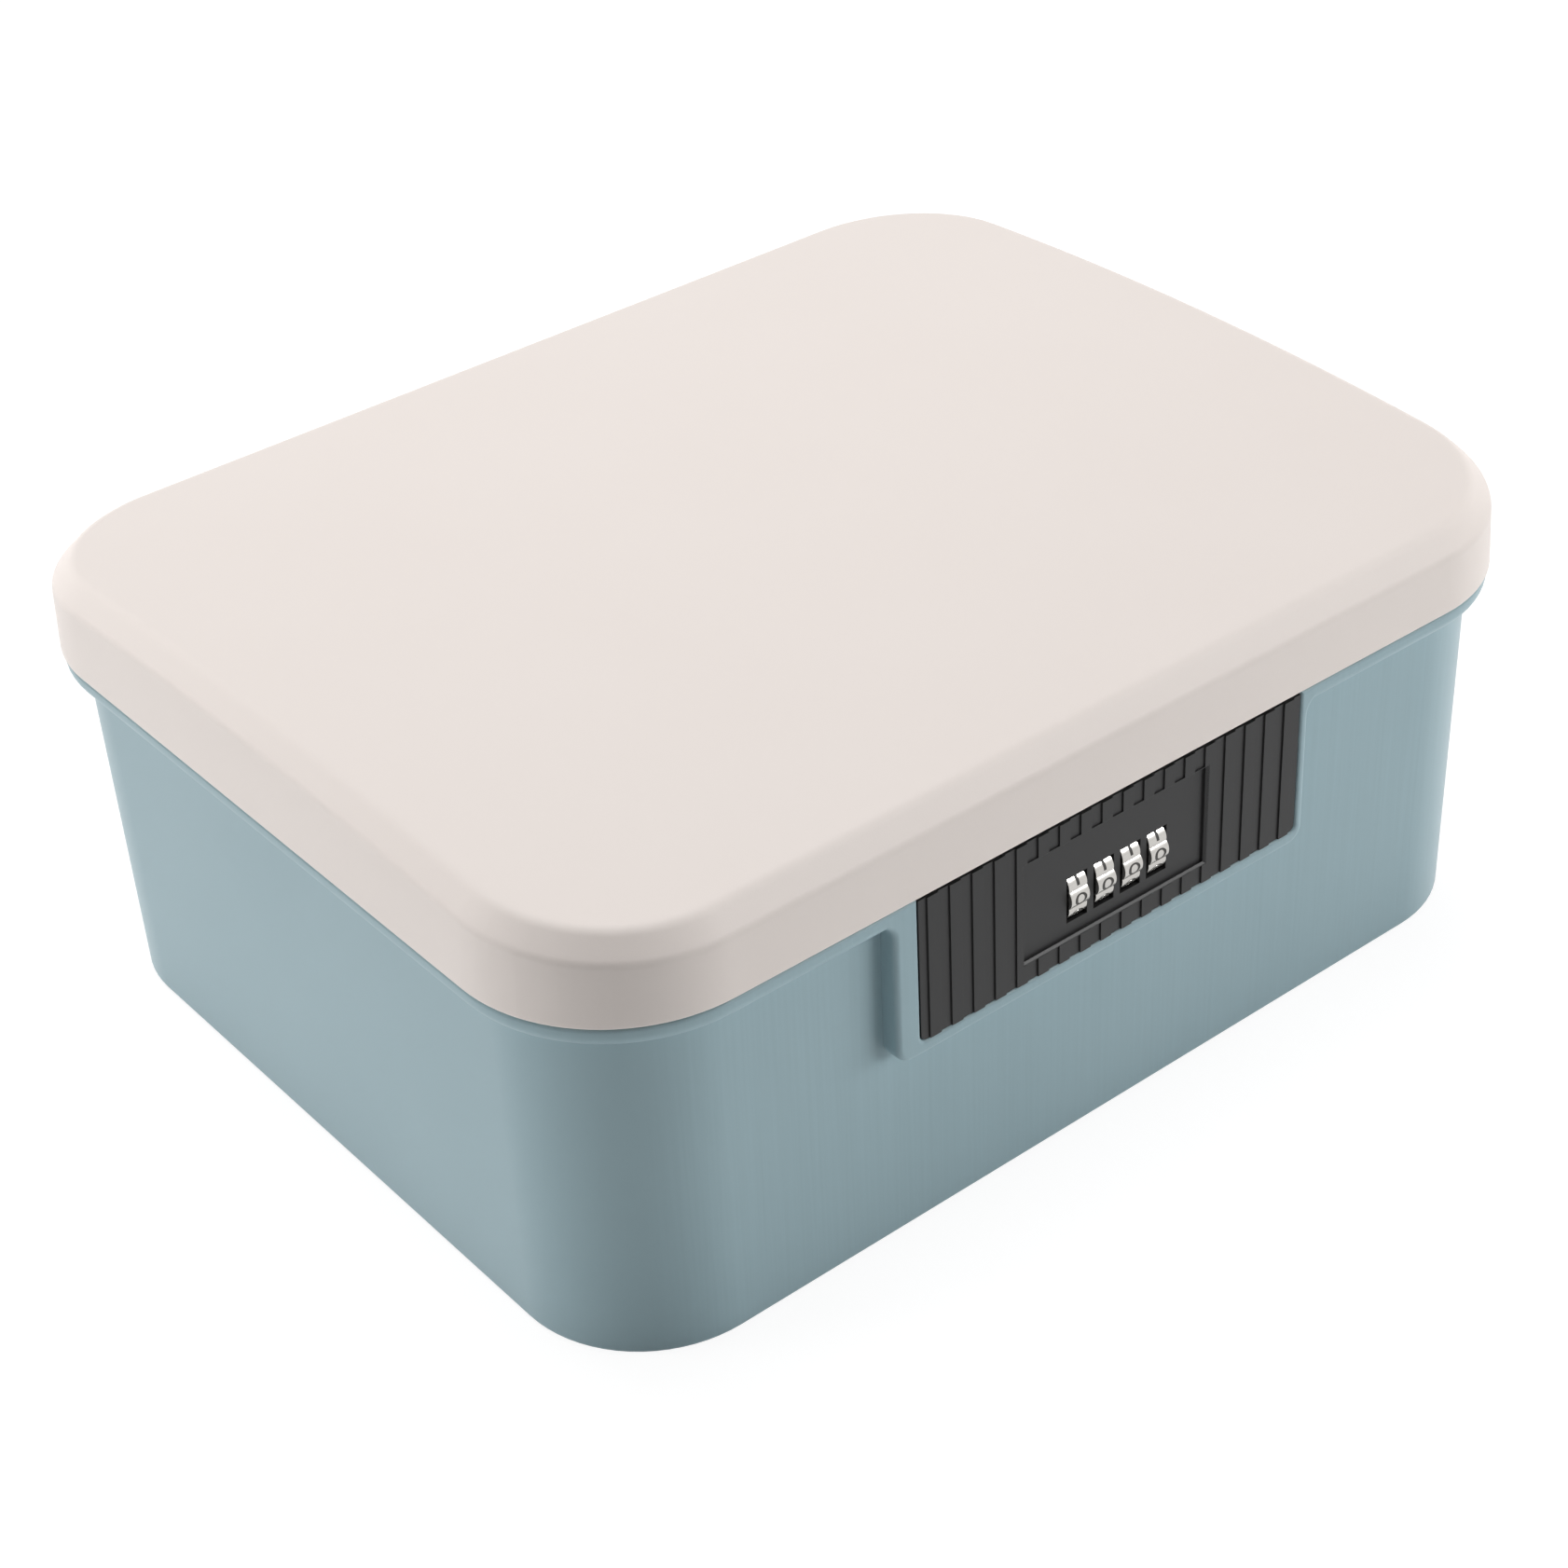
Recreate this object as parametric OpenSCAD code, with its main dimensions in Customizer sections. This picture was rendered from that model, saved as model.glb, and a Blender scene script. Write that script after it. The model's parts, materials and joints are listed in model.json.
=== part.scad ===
// Lockable storage box: an open moulded body, a crowned lid hinged at the back, and a
// four-wheel combination lock behind a ribbed black panel in the front.
// Each number wheel turns a code disc on the lock shaft. A comb under the lid hangs its
// four blades between the wheels. At the code every disc shows its flat to the blades
// and the lid lifts. Off the code a disc's rim stands in its blade's notch and holds it.
// Millimetres. +X runs to the right along the front, +Y to the back, +Z up.
// The origin is the middle of the footprint, on the surface that the box stands on.

/* [Lid] */
// Width of the lid across the top of its skirt
lid_w = 300; // [260:1:380]
// Depth of the lid from front to back across the top of its skirt
lid_d = 242; // [210:1:300]
// Corner radius of the lid in plan
corner_r = 40; // [30:1:60]
// Height of the skirt at the front, from its lower edge to the bevel
skirt_h = 15.5; // [13:0.5:24]
// How far the skirt's lower edge stands out past its top
skirt_flare = 0.85; // [0.4:0.05:1.5]
// Height of the bevel between the skirt and the top
bevel_h = 5.1; // [3:0.1:8]
// Inset of the bevel in plan
bevel_in = 5.4; // [3:0.1:8]
// Rise of the top from its front and back edges to the middle
crown_h = 6; // [2:0.5:12]
// Wall thickness of the lid
lid_wall = 2.5; // [2:0.1:3]

/* [Body] */
// Height of the body to the top of its rim flange
body_h = 98.5; // [94:0.5:140]
// Gap between the rim flange and the closed lid
seam_gap = 0.3; // [0.2:0.1:1]
// Wall thickness of the body
body_wall = 2.5; // [2:0.1:3]
// Thickness of the body's floor
floor_t = 2.5; // [2:0.1:5]
// How far the wall stands in from the top of the lid's skirt, under the flange
wall_inset = 4.6; // [4.5:0.1:5.5]
// How much further in the wall stands at the foot
wall_taper = 1; // [0.5:0.1:2]
// Edge radius at the foot
foot_r = 1.2; // [0.5:0.1:2]
// Inner radius between wall and floor
inside_r = 4; // [2:0.5:8]
// How far the flange's face stands out past the top of the lid's skirt
flange_out = 0.2; // [0:0.1:0.6]
// Height of the flange's downturned lip
flange_h = 4.2; // [3.4:0.1:5]
// Thickness of the lip
lip_t = 2; // [1.6:0.1:2.4]
// Thickness of the ledge that joins lip and wall
ledge_t = 2; // [1.5:0.1:3]
// Edge radius at the bottom of the lip
lip_r = 1.5; // [0.5:0.1:1.5]
// Height of the rim that stands up inside the lid
rim_h = 4.8; // [3:0.1:8]
// Diameter of the anti-slip pads
pad_d = 16; // [10:1:24]
// How far a pad stands proud of the base
pad_proud = 0.5; // [0.4:0.1:0.8]
// Depth of the pad's pocket in the base
pad_pocket = 0.8; // [0.5:0.1:1]
// Distance of the pads from the lid's corner centres, towards the middle
pad_in = 4; // [0:1:20]

/* [Hinge] */
// Diameter of the hinge pins
pin_d = 4; // [3:0.5:5]
// Outer radius of the knuckles
knuckle_r = 4; // [3.5:0.1:4.2]
// Gap between the knuckles and the back of the flange
hinge_gap = 0.4; // [0.3:0.1:1]
// Distance of each hinge from the middle
hinge_x = 85; // [60:1:90]
// Width of the lid's knuckle
lid_knuckle_w = 16; // [10:1:30]
// Width of each body knuckle
body_knuckle_w = 8; // [5:1:14]
// Side gap between knuckles
knuckle_gap = 0.3; // [0.2:0.1:0.6]
// Radial clearance of a turning pin or wheel
run_fit = 0.06; // [0.03:0.01:0.1]
// Height of the lid's hinge arms above the lid's lower edge
arm_h = 11; // [6:0.5:12]

/* [Lock panel] */
// Width of the ribbed panel
panel_w = 119; // [114:0.5:126]
// Height of the ribbed panel
panel_h = 38.9; // [36:0.1:44]
// Depth of the panel from its rib crests to its seat
panel_t = 4.3; // [4:0.1:5]
// How far the crests stand out past the face of the flange
crest_out = 0.1; // [0:0.1:0.3]
// Gap between the panel's top and the top of the flange
panel_drop = 0.6; // [0.4:0.1:2]
// Gap round the panel in its recess
panel_gap = 0.3; // [0.2:0.1:0.8]
// Corner radius at the panel's foot
panel_r = 1.5; // [0.5:0.1:2]
// Width of the boss beside the panel, on the left
boss_left_w = 6.7; // [4:0.1:8]
// Width of the boss beside the panel, on the right
boss_right_w = 2.7; // [2:0.1:8]
// Height of the boss below the panel
boss_foot = 3.7; // [2:0.1:5]
// Outer corner radius at the foot of the boss
boss_r = 4.5; // [2:0.5:6]
// Fillet radius between the boss and the flange
boss_fillet = 3; // [2:0.5:6]
// Number of ribs
rib_count = 18; // [10:1:18]
// Distance of the outer ribs from the panel's ends
rib_edge = 2.36; // [1.5:0.01:6]
// Width of a rib
rib_w = 3.26; // [2:0.01:4]
// Height of a rib
rib_h = 0.75; // [0.4:0.05:1]
// Width of the smooth plate round the wheels
plate_w = 56.9; // [50:0.1:64]
// Height of the smooth plate
plate_h = 26.9; // [20:0.1:30]
// Height of the plate's lower edge above the panel's
plate_up = 5.8; // [4:0.1:8]
// Depth of the plate below the rib crests
plate_deep = 1.2; // [1:0.1:1.6]
// Width of the bead round the plate
bead_w = 0.5; // [0.3:0.1:1]
// How far the bead stands out of the grooves between the ribs
bead_rise = 0.15; // [0.1:0.05:0.3]
// Thickness of the panel behind the plate
skin_t = 1.7; // [1.4:0.1:1.8]
// Thickness of the panel's outer walls
panel_wall = 2; // [1.5:0.1:3]
// Thickness of the body's seat behind the panel
seat_t = 3.6; // [3.4:0.1:4]
// Distance of the panel's screws from the middle
post_x = 42; // [40:0.5:50]
// Distance of the panel's screws above and below the wheels
post_z = 9; // [6:0.5:10]

/* [Number wheels] */
// Radius of a wheel to the middle of its number pads
wheel_r = 8.2; // [7.8:0.1:8.4]
// Width of a wheel
wheel_w = 5.9; // [5:0.1:6]
// Distance from wheel to wheel
wheel_pitch = 8.4; // [8.3:0.1:9]
// Radius to which a number pad is rounded
pad_round = 4.4; // [4.2:0.1:5.5]
// How far the wheels stand out past the plate
wheel_proud = 1.5; // [1:0.1:2]
// Height of the wheels' axis above the panel's lower edge
dial_up = 15.55; // [14:0.05:18]
// Distance of the wheels' middle from the panel's middle
dial_x = 1.1; // [-2:0.1:2]
// Gap between a wheel and the sides of its window
window_side = 0.24; // [0.15:0.01:0.4]
// Height of a window
window_h = 12.6; // [11.5:0.1:14]
// Diameter of the lock shaft
shaft_d = 3; // [2.5:0.1:3.2]
// Outer radius of a code sleeve
sleeve_r = 2.4; // [2.2:0.1:2.5]
// Radius of a code disc
disc_r = 4.5; // [4.3:0.1:4.6]
// Distance of the disc's flat from the axis
disc_flat = 2.6; // [2.5:0.1:2.8]
// Thickness of a code disc
disc_t = 1.2; // [0.8:0.1:1.3]
// Height and width of the key on a sleeve
key = 0.6; // [0.4:0.05:0.7]
// Side gap between neighbouring sleeves
sleeve_gap = 0.2; // [0.1:0.05:0.4]

/* [Lock housing] */
// Wall thickness of the housing
housing_wall = 2; // [1.6:0.1:2.2]
// Depth of the housing behind the seat
housing_t = 12; // [11.5:0.1:16]
// Half the width inside the housing
housing_half = 31.5; // [31:0.1:34]
// Height inside the housing above the wheels' axis
housing_up = 13; // [12.5:0.1:14]
// Height inside the housing below the wheels' axis
housing_down = 10.4; // [10:0.1:12]
// Half the distance between the cheeks that carry the shaft
cheek_in = 20.6; // [20.4:0.1:22]
// Thickness of a cheek
cheek_t = 2; // [1.5:0.1:2.5]
// Thickness of the cover plate
cover_t = 2; // [1.5:0.1:3]
// Thickness of the detent spring's strip
leaf_t = 0.4; // [0.3:0.05:0.5]
// Width of a detent finger
leaf_w = 3.6; // [2:0.1:5]
// Travel of the code reset slider
reset_travel = 2; // [1.5:0.1:2.2]
// Diameter of the wire of the sleeve spring
wire_d = 0.5; // [0.4:0.05:0.6]
// Turns of the sleeve spring
spring_turns = 4; // [3:1:5]

/* [Catch comb] */
// Thickness of a blade
blade_t = 1.4; // [1.2:0.1:1.5]
// Depth of a blade behind its notch
blade_neck = 3.9; // [3:0.1:4.5]
// Running gap between the comb and the lock
comb_gap = 0.4; // [0.3:0.05:0.6]
// Length of the tooth under the notch
tooth_h = 4.5; // [3:0.1:5]
// Height of the comb's solid block above the wheels' axis
block_up = 11.5; // [10.5:0.1:13]
// Thickness of the comb's mounting plate
comb_plate_t = 3; // [2:0.1:4]
// Distance of the mounting plate below the lid's lower bevel edge
comb_drop = 2.3; // [1:0.1:4]
// Half the distance between the comb's screws
comb_screw_x = 23; // [20:0.5:30]
// Distance of the comb's screws behind its blades
comb_screw_y = 6; // [5:0.5:12]

/* [Screws] */
// Shank diameter of the tapping screws
screw_d = 2.9; // [2.5:0.1:3]
// Head diameter of the tapping screws
screw_head_d = 5.6; // [5:0.1:6]
// Head height of the tapping screws
screw_head_h = 1.9; // [1.5:0.1:2.5]
// Length of the tapping screws
screw_len = 7.5; // [7:0.5:8]
// Clearance between a screw and its hole
screw_fit = 0.1; // [0.05:0.05:0.3]

/* [Hidden] */
$fn = 72;
// Overlap of joined blocks, and overshoot of a cutting block past the face it opens
eps = 0.01;
cut = 1;
// The nodes are written out for four wheels
wheel_count = 4;

// Colours
cream = "#ebe2dd";
blue_grey = "#8fa6ac";
black_plastic = "#3c3c3c";
nickel = "#cfcbc4";
steel = "#a8abad";
rubber_grey = "#4a4a4a";

// Plan: the corners of lid and body turn about the same four centres
corner_x = lid_w/2 - corner_r;
corner_y = lid_d/2 - corner_r;

// Body levels and radii, measured outwards from a corner centre
flange_edge = 0.4;
rim_edge = 0.6;
pad_edge = 0.3;
pad_fit = 0.2;
base_z = pad_proud;
wall_top_r = corner_r - wall_inset;
wall_foot_r = wall_top_r - wall_taper;
flange_r = corner_r + flange_out;
lip_z = body_h - flange_h;
rim_z = body_h + rim_h;

// Lid levels
lid_z = body_h + seam_gap;
skirt_z = lid_z + skirt_h;
top_z = skirt_z + bevel_h;
skirt_r = corner_r + skirt_flare;

// Hinge axis, behind the flange and just below its top
hinge_drop = 0.2;
hinge_y = lid_d/2 + flange_out + hinge_gap + knuckle_r;
hinge_z = body_h - knuckle_r - hinge_drop;
pin_len = lid_knuckle_w + 2*knuckle_gap + 2*body_knuckle_w;

// Lock panel levels, front to back and bottom to top
front_y = -(lid_d/2 + flange_out);
crest_y = front_y - crest_out;
seat_y = crest_y + panel_t;
seat_back_y = seat_y + seat_t;
plate_y = crest_y + plate_deep;
skin_y = plate_y + skin_t;
panel_z = body_h - panel_drop - panel_h;
recess_z = panel_z - panel_gap;
boss_z = recess_z - boss_foot;
boss_left = -panel_w/2 - panel_gap - boss_left_w;
boss_right = panel_w/2 + panel_gap + boss_right_w;
rib_pitch = (panel_w - 2*rib_edge - rib_w)/(rib_count - 1);
post_r = 3;

// Wheels, sleeves and shaft
axis_y = plate_y - wheel_proud + wheel_r;
axis_z = panel_z + dial_up;
gap_w = wheel_pitch - wheel_w;
shaft_r = shaft_d/2;
window_w = wheel_w + 2*window_side;
function wheel_x(i) = dial_x + (i - (wheel_count - 1)/2)*wheel_pitch;
function blade_x(i) = wheel_x(i) + wheel_pitch/2;
pack_left = wheel_x(0) - wheel_w/2;
pack_right = wheel_x(wheel_count - 1) + wheel_w/2 + gap_w - sleeve_gap;

// Housing
housing_left = dial_x - housing_half;
housing_right = dial_x + housing_half;
housing_top = axis_z + housing_up;
housing_bottom = axis_z - housing_down;
cover_y = seat_back_y + housing_t;
cheek_left = dial_x - cheek_in;
cheek_right = dial_x + cheek_in;
cheek_back = 1.5;
cheek_front = skin_y + cheek_back;
cheek_gap = 0.3;
cover_gap = 0.4;
ear_t = 2.5;
ear_half = 4.5;
slot_gap = 0.8;

// Screws: holes, the cover's smaller screws, and the bosses that they bite into
screw_hole_r = screw_d/2 + screw_fit;
cover_screw_r = 1.2;
cover_hole_r = cover_screw_r + screw_fit;
cover_head_r = 2.3;
cover_head_h = 1.4;
tip_gap = 0.4;
screw_boss_r = 2.6;
boss_root = 0.4;
post_skin = 1.3;

// Reset slider, between the left cheek and the housing's end wall
slider_t = 3;
slider_gap = 0.3;
slider_x = cheek_left - cheek_t - 2*slider_gap - reset_travel - slider_t;
slider_half = 2.5;
stem_half = 1.5;
knob_t = 2;
knob_over = 1;

// Shaft ends, its groove and the clip in it
shaft_out = 3;
clip_gap = 0.4;
clip_t = 0.6;
clip_out = 1.2;
groove_deep = 0.4;
shaft_left = slider_x - shaft_r;
shaft_right = cheek_right + cheek_t + shaft_out;
clip_x = cheek_right + cheek_t + clip_gap;
groove_r = shaft_r - groove_deep;
clip_r = shaft_r + clip_out;
clip_fit = 0.05;
clip_mouth = 1.6*groove_r;

// Small clearances inside the lock
touch_gap = 0.02;
coil_gap = 0.1;
leaf_gap = 0.3;
leaf_tip = 2;
leaf_toe = 3.5;
leaf_drop = 0.8;
leaf_root = 6;
leaf_foot = 4;
key_fit = 0.05;
window_back = 0.3;

// Catch comb
notch_half = sqrt(pow(disc_r, 2) - pow(disc_flat + comb_gap, 2)) + comb_gap;
neck_y = axis_y + disc_r + comb_gap;
blade_back = neck_y + blade_neck;
tooth_top = axis_z - notch_half;
tooth_end = tooth_top - tooth_h;
reach = hinge_y - axis_y;
// A point of the comb swings forward while the lid lifts it to the level of the wheels' axis
function forward(z) = ((hinge_z - z)*(axis_z - z) - pow(axis_z - z, 2)/2)/reach;
function tooth_y(z) = axis_y + disc_flat + comb_gap + forward(z);
block_y = tooth_y(tooth_top);
comb_top = skirt_z - comb_drop;
comb_mid = (blade_x(0) + blade_x(wheel_count - 1))/2;
comb_screw_row = blade_back + comb_screw_y;
comb_edge = 5;
comb_post_wall = 2.2;
comb_post_r = screw_d/2 + comb_post_wall;
block_side = 1.2;
block_half = (blade_x(wheel_count - 1) - blade_x(0) + blade_t)/2 + block_side;
blade_edge = 1;
gusset_t = 2;
gusset_h = 9;

// Plain shapes used by more than one piece

// Points of an arc from angle a to angle b in the drawing plane
function arc(cx, cy, r, a, b, n = 5) =
    [for (i = [0 : n]) let (t = a + (b - a)*i/n) [cx + r*cos(t), cy + r*sin(t)]];

// Sweeps a cross-section, drawn outwards from a corner centre, once round the plan
module round_the_plan() {
    for (q = [0 : 3]) {
        half_x = q % 2 == 0 ? corner_x : corner_y;
        half_y = q % 2 == 0 ? corner_y : corner_x;
        rotate([0, 0, 90*q]) {
            translate([half_x, half_y, 0]) rotate_extrude(angle = 90) children();
            translate([-half_x, half_y, 0]) rotate([90, 0, 90]) linear_extrude(2*half_x) children();
        }
    }
}

// A block between two corners
module block(low, high) {
    translate(low) cube(high - low);
}

// A cylinder along X between two stations
module rod_x(x0, x1, r, y, z) {
    translate([x0, y, z]) rotate([0, 90, 0]) cylinder(h = x1 - x0, r = r);
}

// A cylinder along Y between two stations
module rod_y(y0, y1, r, x, z) {
    translate([x, y0, z]) rotate([-90, 0, 0]) cylinder(h = y1 - y0, r = r);
}

// A shape drawn in the plane across the box, Y and Z, and carried along X
module across(x0, x1) {
    translate([x0, 0, 0]) rotate([90, 0, 90]) linear_extrude(x1 - x0) children();
}

// A tapping screw, its head towards +Z and the underside of the head at the origin
module screw(r = screw_d/2, head_r = screw_head_d/2, head_h = screw_head_h, len = screw_len) {
    translate([0, 0, -len + r]) cylinder(h = len - r, r = r);
    translate([0, 0, -len]) cylinder(h = r, r1 = r/4, r2 = r);
    cylinder(h = head_h*0.6, r = head_r);
    translate([0, 0, head_h*0.6]) cylinder(h = head_h*0.4, r1 = head_r, r2 = head_r*0.7);
}

// Body

// Cross-section of floor, wall, flange and rim, outwards from a corner centre
module body_section() {
    rim_in = wall_top_r - body_wall;
    floor_z = base_z + floor_t;
    polygon(concat(
        [[0, base_z]],
        arc(wall_foot_r - foot_r, base_z + foot_r, foot_r, -90, 0),
        [[wall_top_r, body_h - ledge_t], [flange_r - lip_t, body_h - ledge_t]],
        [[flange_r - lip_t, lip_z]],
        arc(flange_r - lip_r, lip_z + lip_r, lip_r, -90, 0),
        [[flange_r, body_h - flange_edge], [flange_r - flange_edge, body_h], [wall_top_r, body_h]],
        [[wall_top_r, rim_z - rim_edge], [wall_top_r - rim_edge, rim_z]],
        [[rim_in, rim_z], [rim_in, body_h - ledge_t]],
        arc(wall_foot_r - body_wall - inside_r, floor_z + inside_r, inside_r, 0, -90, 8),
        [[0, floor_z]]));
}

// Front outline of the boss that frames the lock panel, X and Z
module boss_outline() {
    top = body_h - ledge_t;
    translate([boss_left, boss_z + boss_r]) square([boss_right - boss_left, top - boss_z - boss_r]);
    translate([boss_left + boss_r, boss_z])
        square([boss_right - boss_left - 2*boss_r, boss_r + eps]);
    for (s = [-1, 1]) {
        side = s > 0 ? boss_right : boss_left;
        translate([side - s*boss_r, boss_z + boss_r]) circle(boss_r);
        // Concave fillet under the flange
        difference() {
            translate([s > 0 ? side - eps : side - boss_fillet, lip_z - boss_fillet])
                square([boss_fillet + eps, boss_fillet + lip_r]);
            translate([side + s*boss_fillet, lip_z - boss_fillet]) circle(boss_fillet);
        }
    }
}

// A plate with square corners at the top and rounded ones at the foot, from y0 back to y1
module round_footed(half, z0, z1, r, y0, y1) {
    translate([0, y1, 0]) rotate([90, 0, 0]) linear_extrude(y1 - y0) {
        translate([-half, z0 + r]) square([2*half, z1 - z0 - r]);
        translate([r - half, z0]) square([2*(half - r), r + eps]);
        for (s = [-1, 1]) translate([s*(half - r), z0 + r]) circle(r);
    }
}

module panel_posts(r, y0, y1) {
    for (sx = [-1, 1], sz = [-1, 1]) rod_y(y0, y1, r, sx*post_x, axis_z + sz*post_z);
}

module body_knuckles(side) {
    root_y = corner_y + wall_foot_r;
    for (s = [-1, 1]) {
        near = s*(lid_knuckle_w/2 + knuckle_gap);
        x0 = side*hinge_x + min(near, near + s*body_knuckle_w);
        rod_x(x0, x0 + body_knuckle_w, knuckle_r, hinge_y, hinge_z);
        block([x0, root_y, hinge_z - knuckle_r],
            [x0 + body_knuckle_w, hinge_y, hinge_z + knuckle_r]);
    }
}

// One pad under each corner, and one that keeps the floor from sagging in the middle
module pad_places() {
    for (sx = [-1 : 1], sy = [-1 : 1]) if (abs(sx) == abs(sy))
        translate([sx*(corner_x - pad_in), sy*(corner_y - pad_in), 0]) children();
}

module body_shell() {
    color(blue_grey) difference() {
        union() {
            round_the_plan() body_section();
            block([-corner_x, -corner_y, base_z], [corner_x, corner_y, base_z + floor_t]);
            // Boss and seat of the lock
            translate([0, seat_back_y, 0]) rotate([90, 0, 0])
                linear_extrude(seat_back_y - front_y) boss_outline();
            for (side = [-1, 1]) body_knuckles(side);
        }
        // Recess for the ribbed panel, open under the lid
        round_footed(panel_w/2 + panel_gap, recess_z, body_h + eps, panel_r + panel_gap,
            front_y - cut, seat_y);
        // Opening for the wheels and the housing's cheeks
        block([housing_left, seat_y - cut, housing_bottom],
            [housing_right, seat_back_y + cut, housing_top]);
        panel_posts(post_r + panel_gap, seat_y - cut, seat_back_y + cut);
        for (side = [-1, 1])
            rod_x(side*hinge_x - pin_len, side*hinge_x + pin_len, pin_d/2 + run_fit, hinge_y, hinge_z);
        // Pockets for the pads
        pad_places() translate([0, 0, base_z - cut])
            cylinder(h = cut + pad_pocket, d = pad_d + 2*pad_fit);
    }
}

module base_pads() {
    color(rubber_grey) pad_places() {
        cylinder(h = pad_edge, d1 = pad_d - 2*pad_edge, d2 = pad_d);
        translate([0, 0, pad_edge]) cylinder(h = base_z + pad_pocket - pad_edge, d = pad_d);
    }
}

// Lid

// The lid is lofted: each ring is an offset from the corner centres, a height, and
// whether it rises with the crown. Stations run up the right half, then back down the left.
side_steps = 12;
arc_steps = 16;
function crown(y) = crown_h*(1 - pow(2*y/lid_d, 2));
function right_half() = concat(
    [for (i = [0 : arc_steps]) let (a = -90 + 90*i/arc_steps) [corner_x, -corner_y, cos(a), sin(a)]],
    [for (i = [1 : side_steps - 1]) [corner_x, -corner_y + 2*corner_y*i/side_steps, 1, 0]],
    [for (i = [0 : arc_steps]) let (a = 90*i/arc_steps) [corner_x, corner_y, cos(a), sin(a)]]);
function left_half(r) = [for (i = [len(r) - 1 : -1 : 0]) [-r[i][0], r[i][1], -r[i][2], r[i][3]]];
function ring(st, r, z, lift) =
    [for (s = st) let (y = s[1] + r*s[3]) [s[0] + r*s[2], y, z + lift*crown(y)]];

// Rings from the inner top down, round the skirt's edge and up to the outer top
edge_r = 0.7;
soft_r = 1.4;
lid_rings = concat(
    [[corner_r - bevel_in - lid_wall*0.6, top_z - lid_wall, 1],
     [corner_r - lid_wall, skirt_z - lid_wall*0.6, 1],
     [skirt_r - lid_wall, lid_z, 0]],
    [for (p = arc(skirt_r - edge_r, lid_z + edge_r, edge_r, -90, 0, 3)) [p[0], p[1], 0]],
    [for (t = [-1, 0, 1]) [corner_r - (t > 0 ? soft_r*bevel_in/bevel_h : t < 0 ? 0 : soft_r/5),
        skirt_z + t*soft_r - (t == 0 ? soft_r/5 : 0), 1]],
    [for (t = [-1, 0, 1]) [corner_r - bevel_in + (t < 0 ? soft_r*bevel_in/bevel_h : t > 0 ? -soft_r : 0),
        top_z + (t < 0 ? -soft_r : t == 0 ? -soft_r/5 : 0), 1]]);

module lid_skin() {
    right = right_half();
    st = concat(right, left_half(right));
    n = len(st);
    half = len(right);
    rings = len(lid_rings);
    points = [for (k = lid_rings) each ring(st, k[0], k[1], k[2])];
    walls = [for (k = [0 : rings - 2], i = [0 : n - 1]) let (j = (i + 1) % n)
        each [[k*n + i, k*n + j, (k + 1)*n + j], [k*n + i, (k + 1)*n + j, (k + 1)*n + i]]];
    under = [for (i = [0 : half - 2]) each [[i, n - 2 - i, i + 1], [i, n - 1 - i, n - 2 - i]]];
    o = (rings - 1)*n;
    top = [for (i = [0 : half - 2])
        each [[o + i, o + i + 1, o + n - 2 - i], [o + i, o + n - 2 - i, o + n - 1 - i]]];
    polyhedron(points, [for (f = concat(walls, under, top)) [f[0], f[2], f[1]]]);
}

// A hinge arm grows out of the back skirt and ends in the lid's knuckle
arm_root = 0.6;
arm_top = 1.6;
arm_foot = 0.8;
arm_slope = 2;

module hinge_arm(side) {
    x0 = side*hinge_x - lid_knuckle_w/2;
    front = hinge_y - knuckle_r;
    back = hinge_y + knuckle_r;
    root = lid_d/2 - arm_root;
    across(x0, x0 + lid_knuckle_w)
        polygon([[front, hinge_z], [front, lid_z + arm_foot], [root, lid_z + arm_foot],
            [root, lid_z + arm_h], [lid_d/2 + arm_top, lid_z + arm_h],
            [back, lid_z + arm_slope], [back, hinge_z]]);
    rod_x(x0, x0 + lid_knuckle_w, knuckle_r, hinge_y, hinge_z);
}

module comb_screw_places() {
    for (s = [-1, 1]) translate([comb_mid + s*comb_screw_x, comb_screw_row, 0]) children();
}

module lid_shell() {
    under_z = top_z + crown(comb_screw_row) - lid_wall;
    color(cream) difference() {
        union() {
            lid_skin();
            for (side = [-1, 1]) hinge_arm(side);
            // Posts that carry the catch comb
            comb_screw_places() translate([0, 0, comb_top])
                cylinder(h = under_z - comb_top + lid_wall/2, r = comb_post_r);
        }
        for (side = [-1, 1])
            rod_x(side*hinge_x - pin_len, side*hinge_x + pin_len, pin_d/2 + run_fit, hinge_y, hinge_z);
        comb_screw_places() translate([0, 0, comb_top - cut])
            cylinder(h = screw_len - comb_plate_t + cut + tip_gap, r = screw_hole_r);
    }
}

module hinge_pin(side) {
    x0 = side*hinge_x - pin_len/2;
    color(steel) rod_x(x0, x0 + pin_len, pin_d/2, hinge_y, hinge_z);
}

// Side view of a blade: neck, notch for the code disc's rim, and tooth
module blade_outline() {
    root_z = axis_z + block_up + cut;
    polygon([[block_y, root_z], [block_y, axis_z + notch_half], [neck_y, axis_z + notch_half],
        [neck_y, tooth_top], [tooth_y(tooth_top), tooth_top], [tooth_y(tooth_end), tooth_end],
        [blade_back - blade_edge, tooth_end], [blade_back, tooth_end + blade_edge],
        [blade_back, root_z]]);
}

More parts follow.
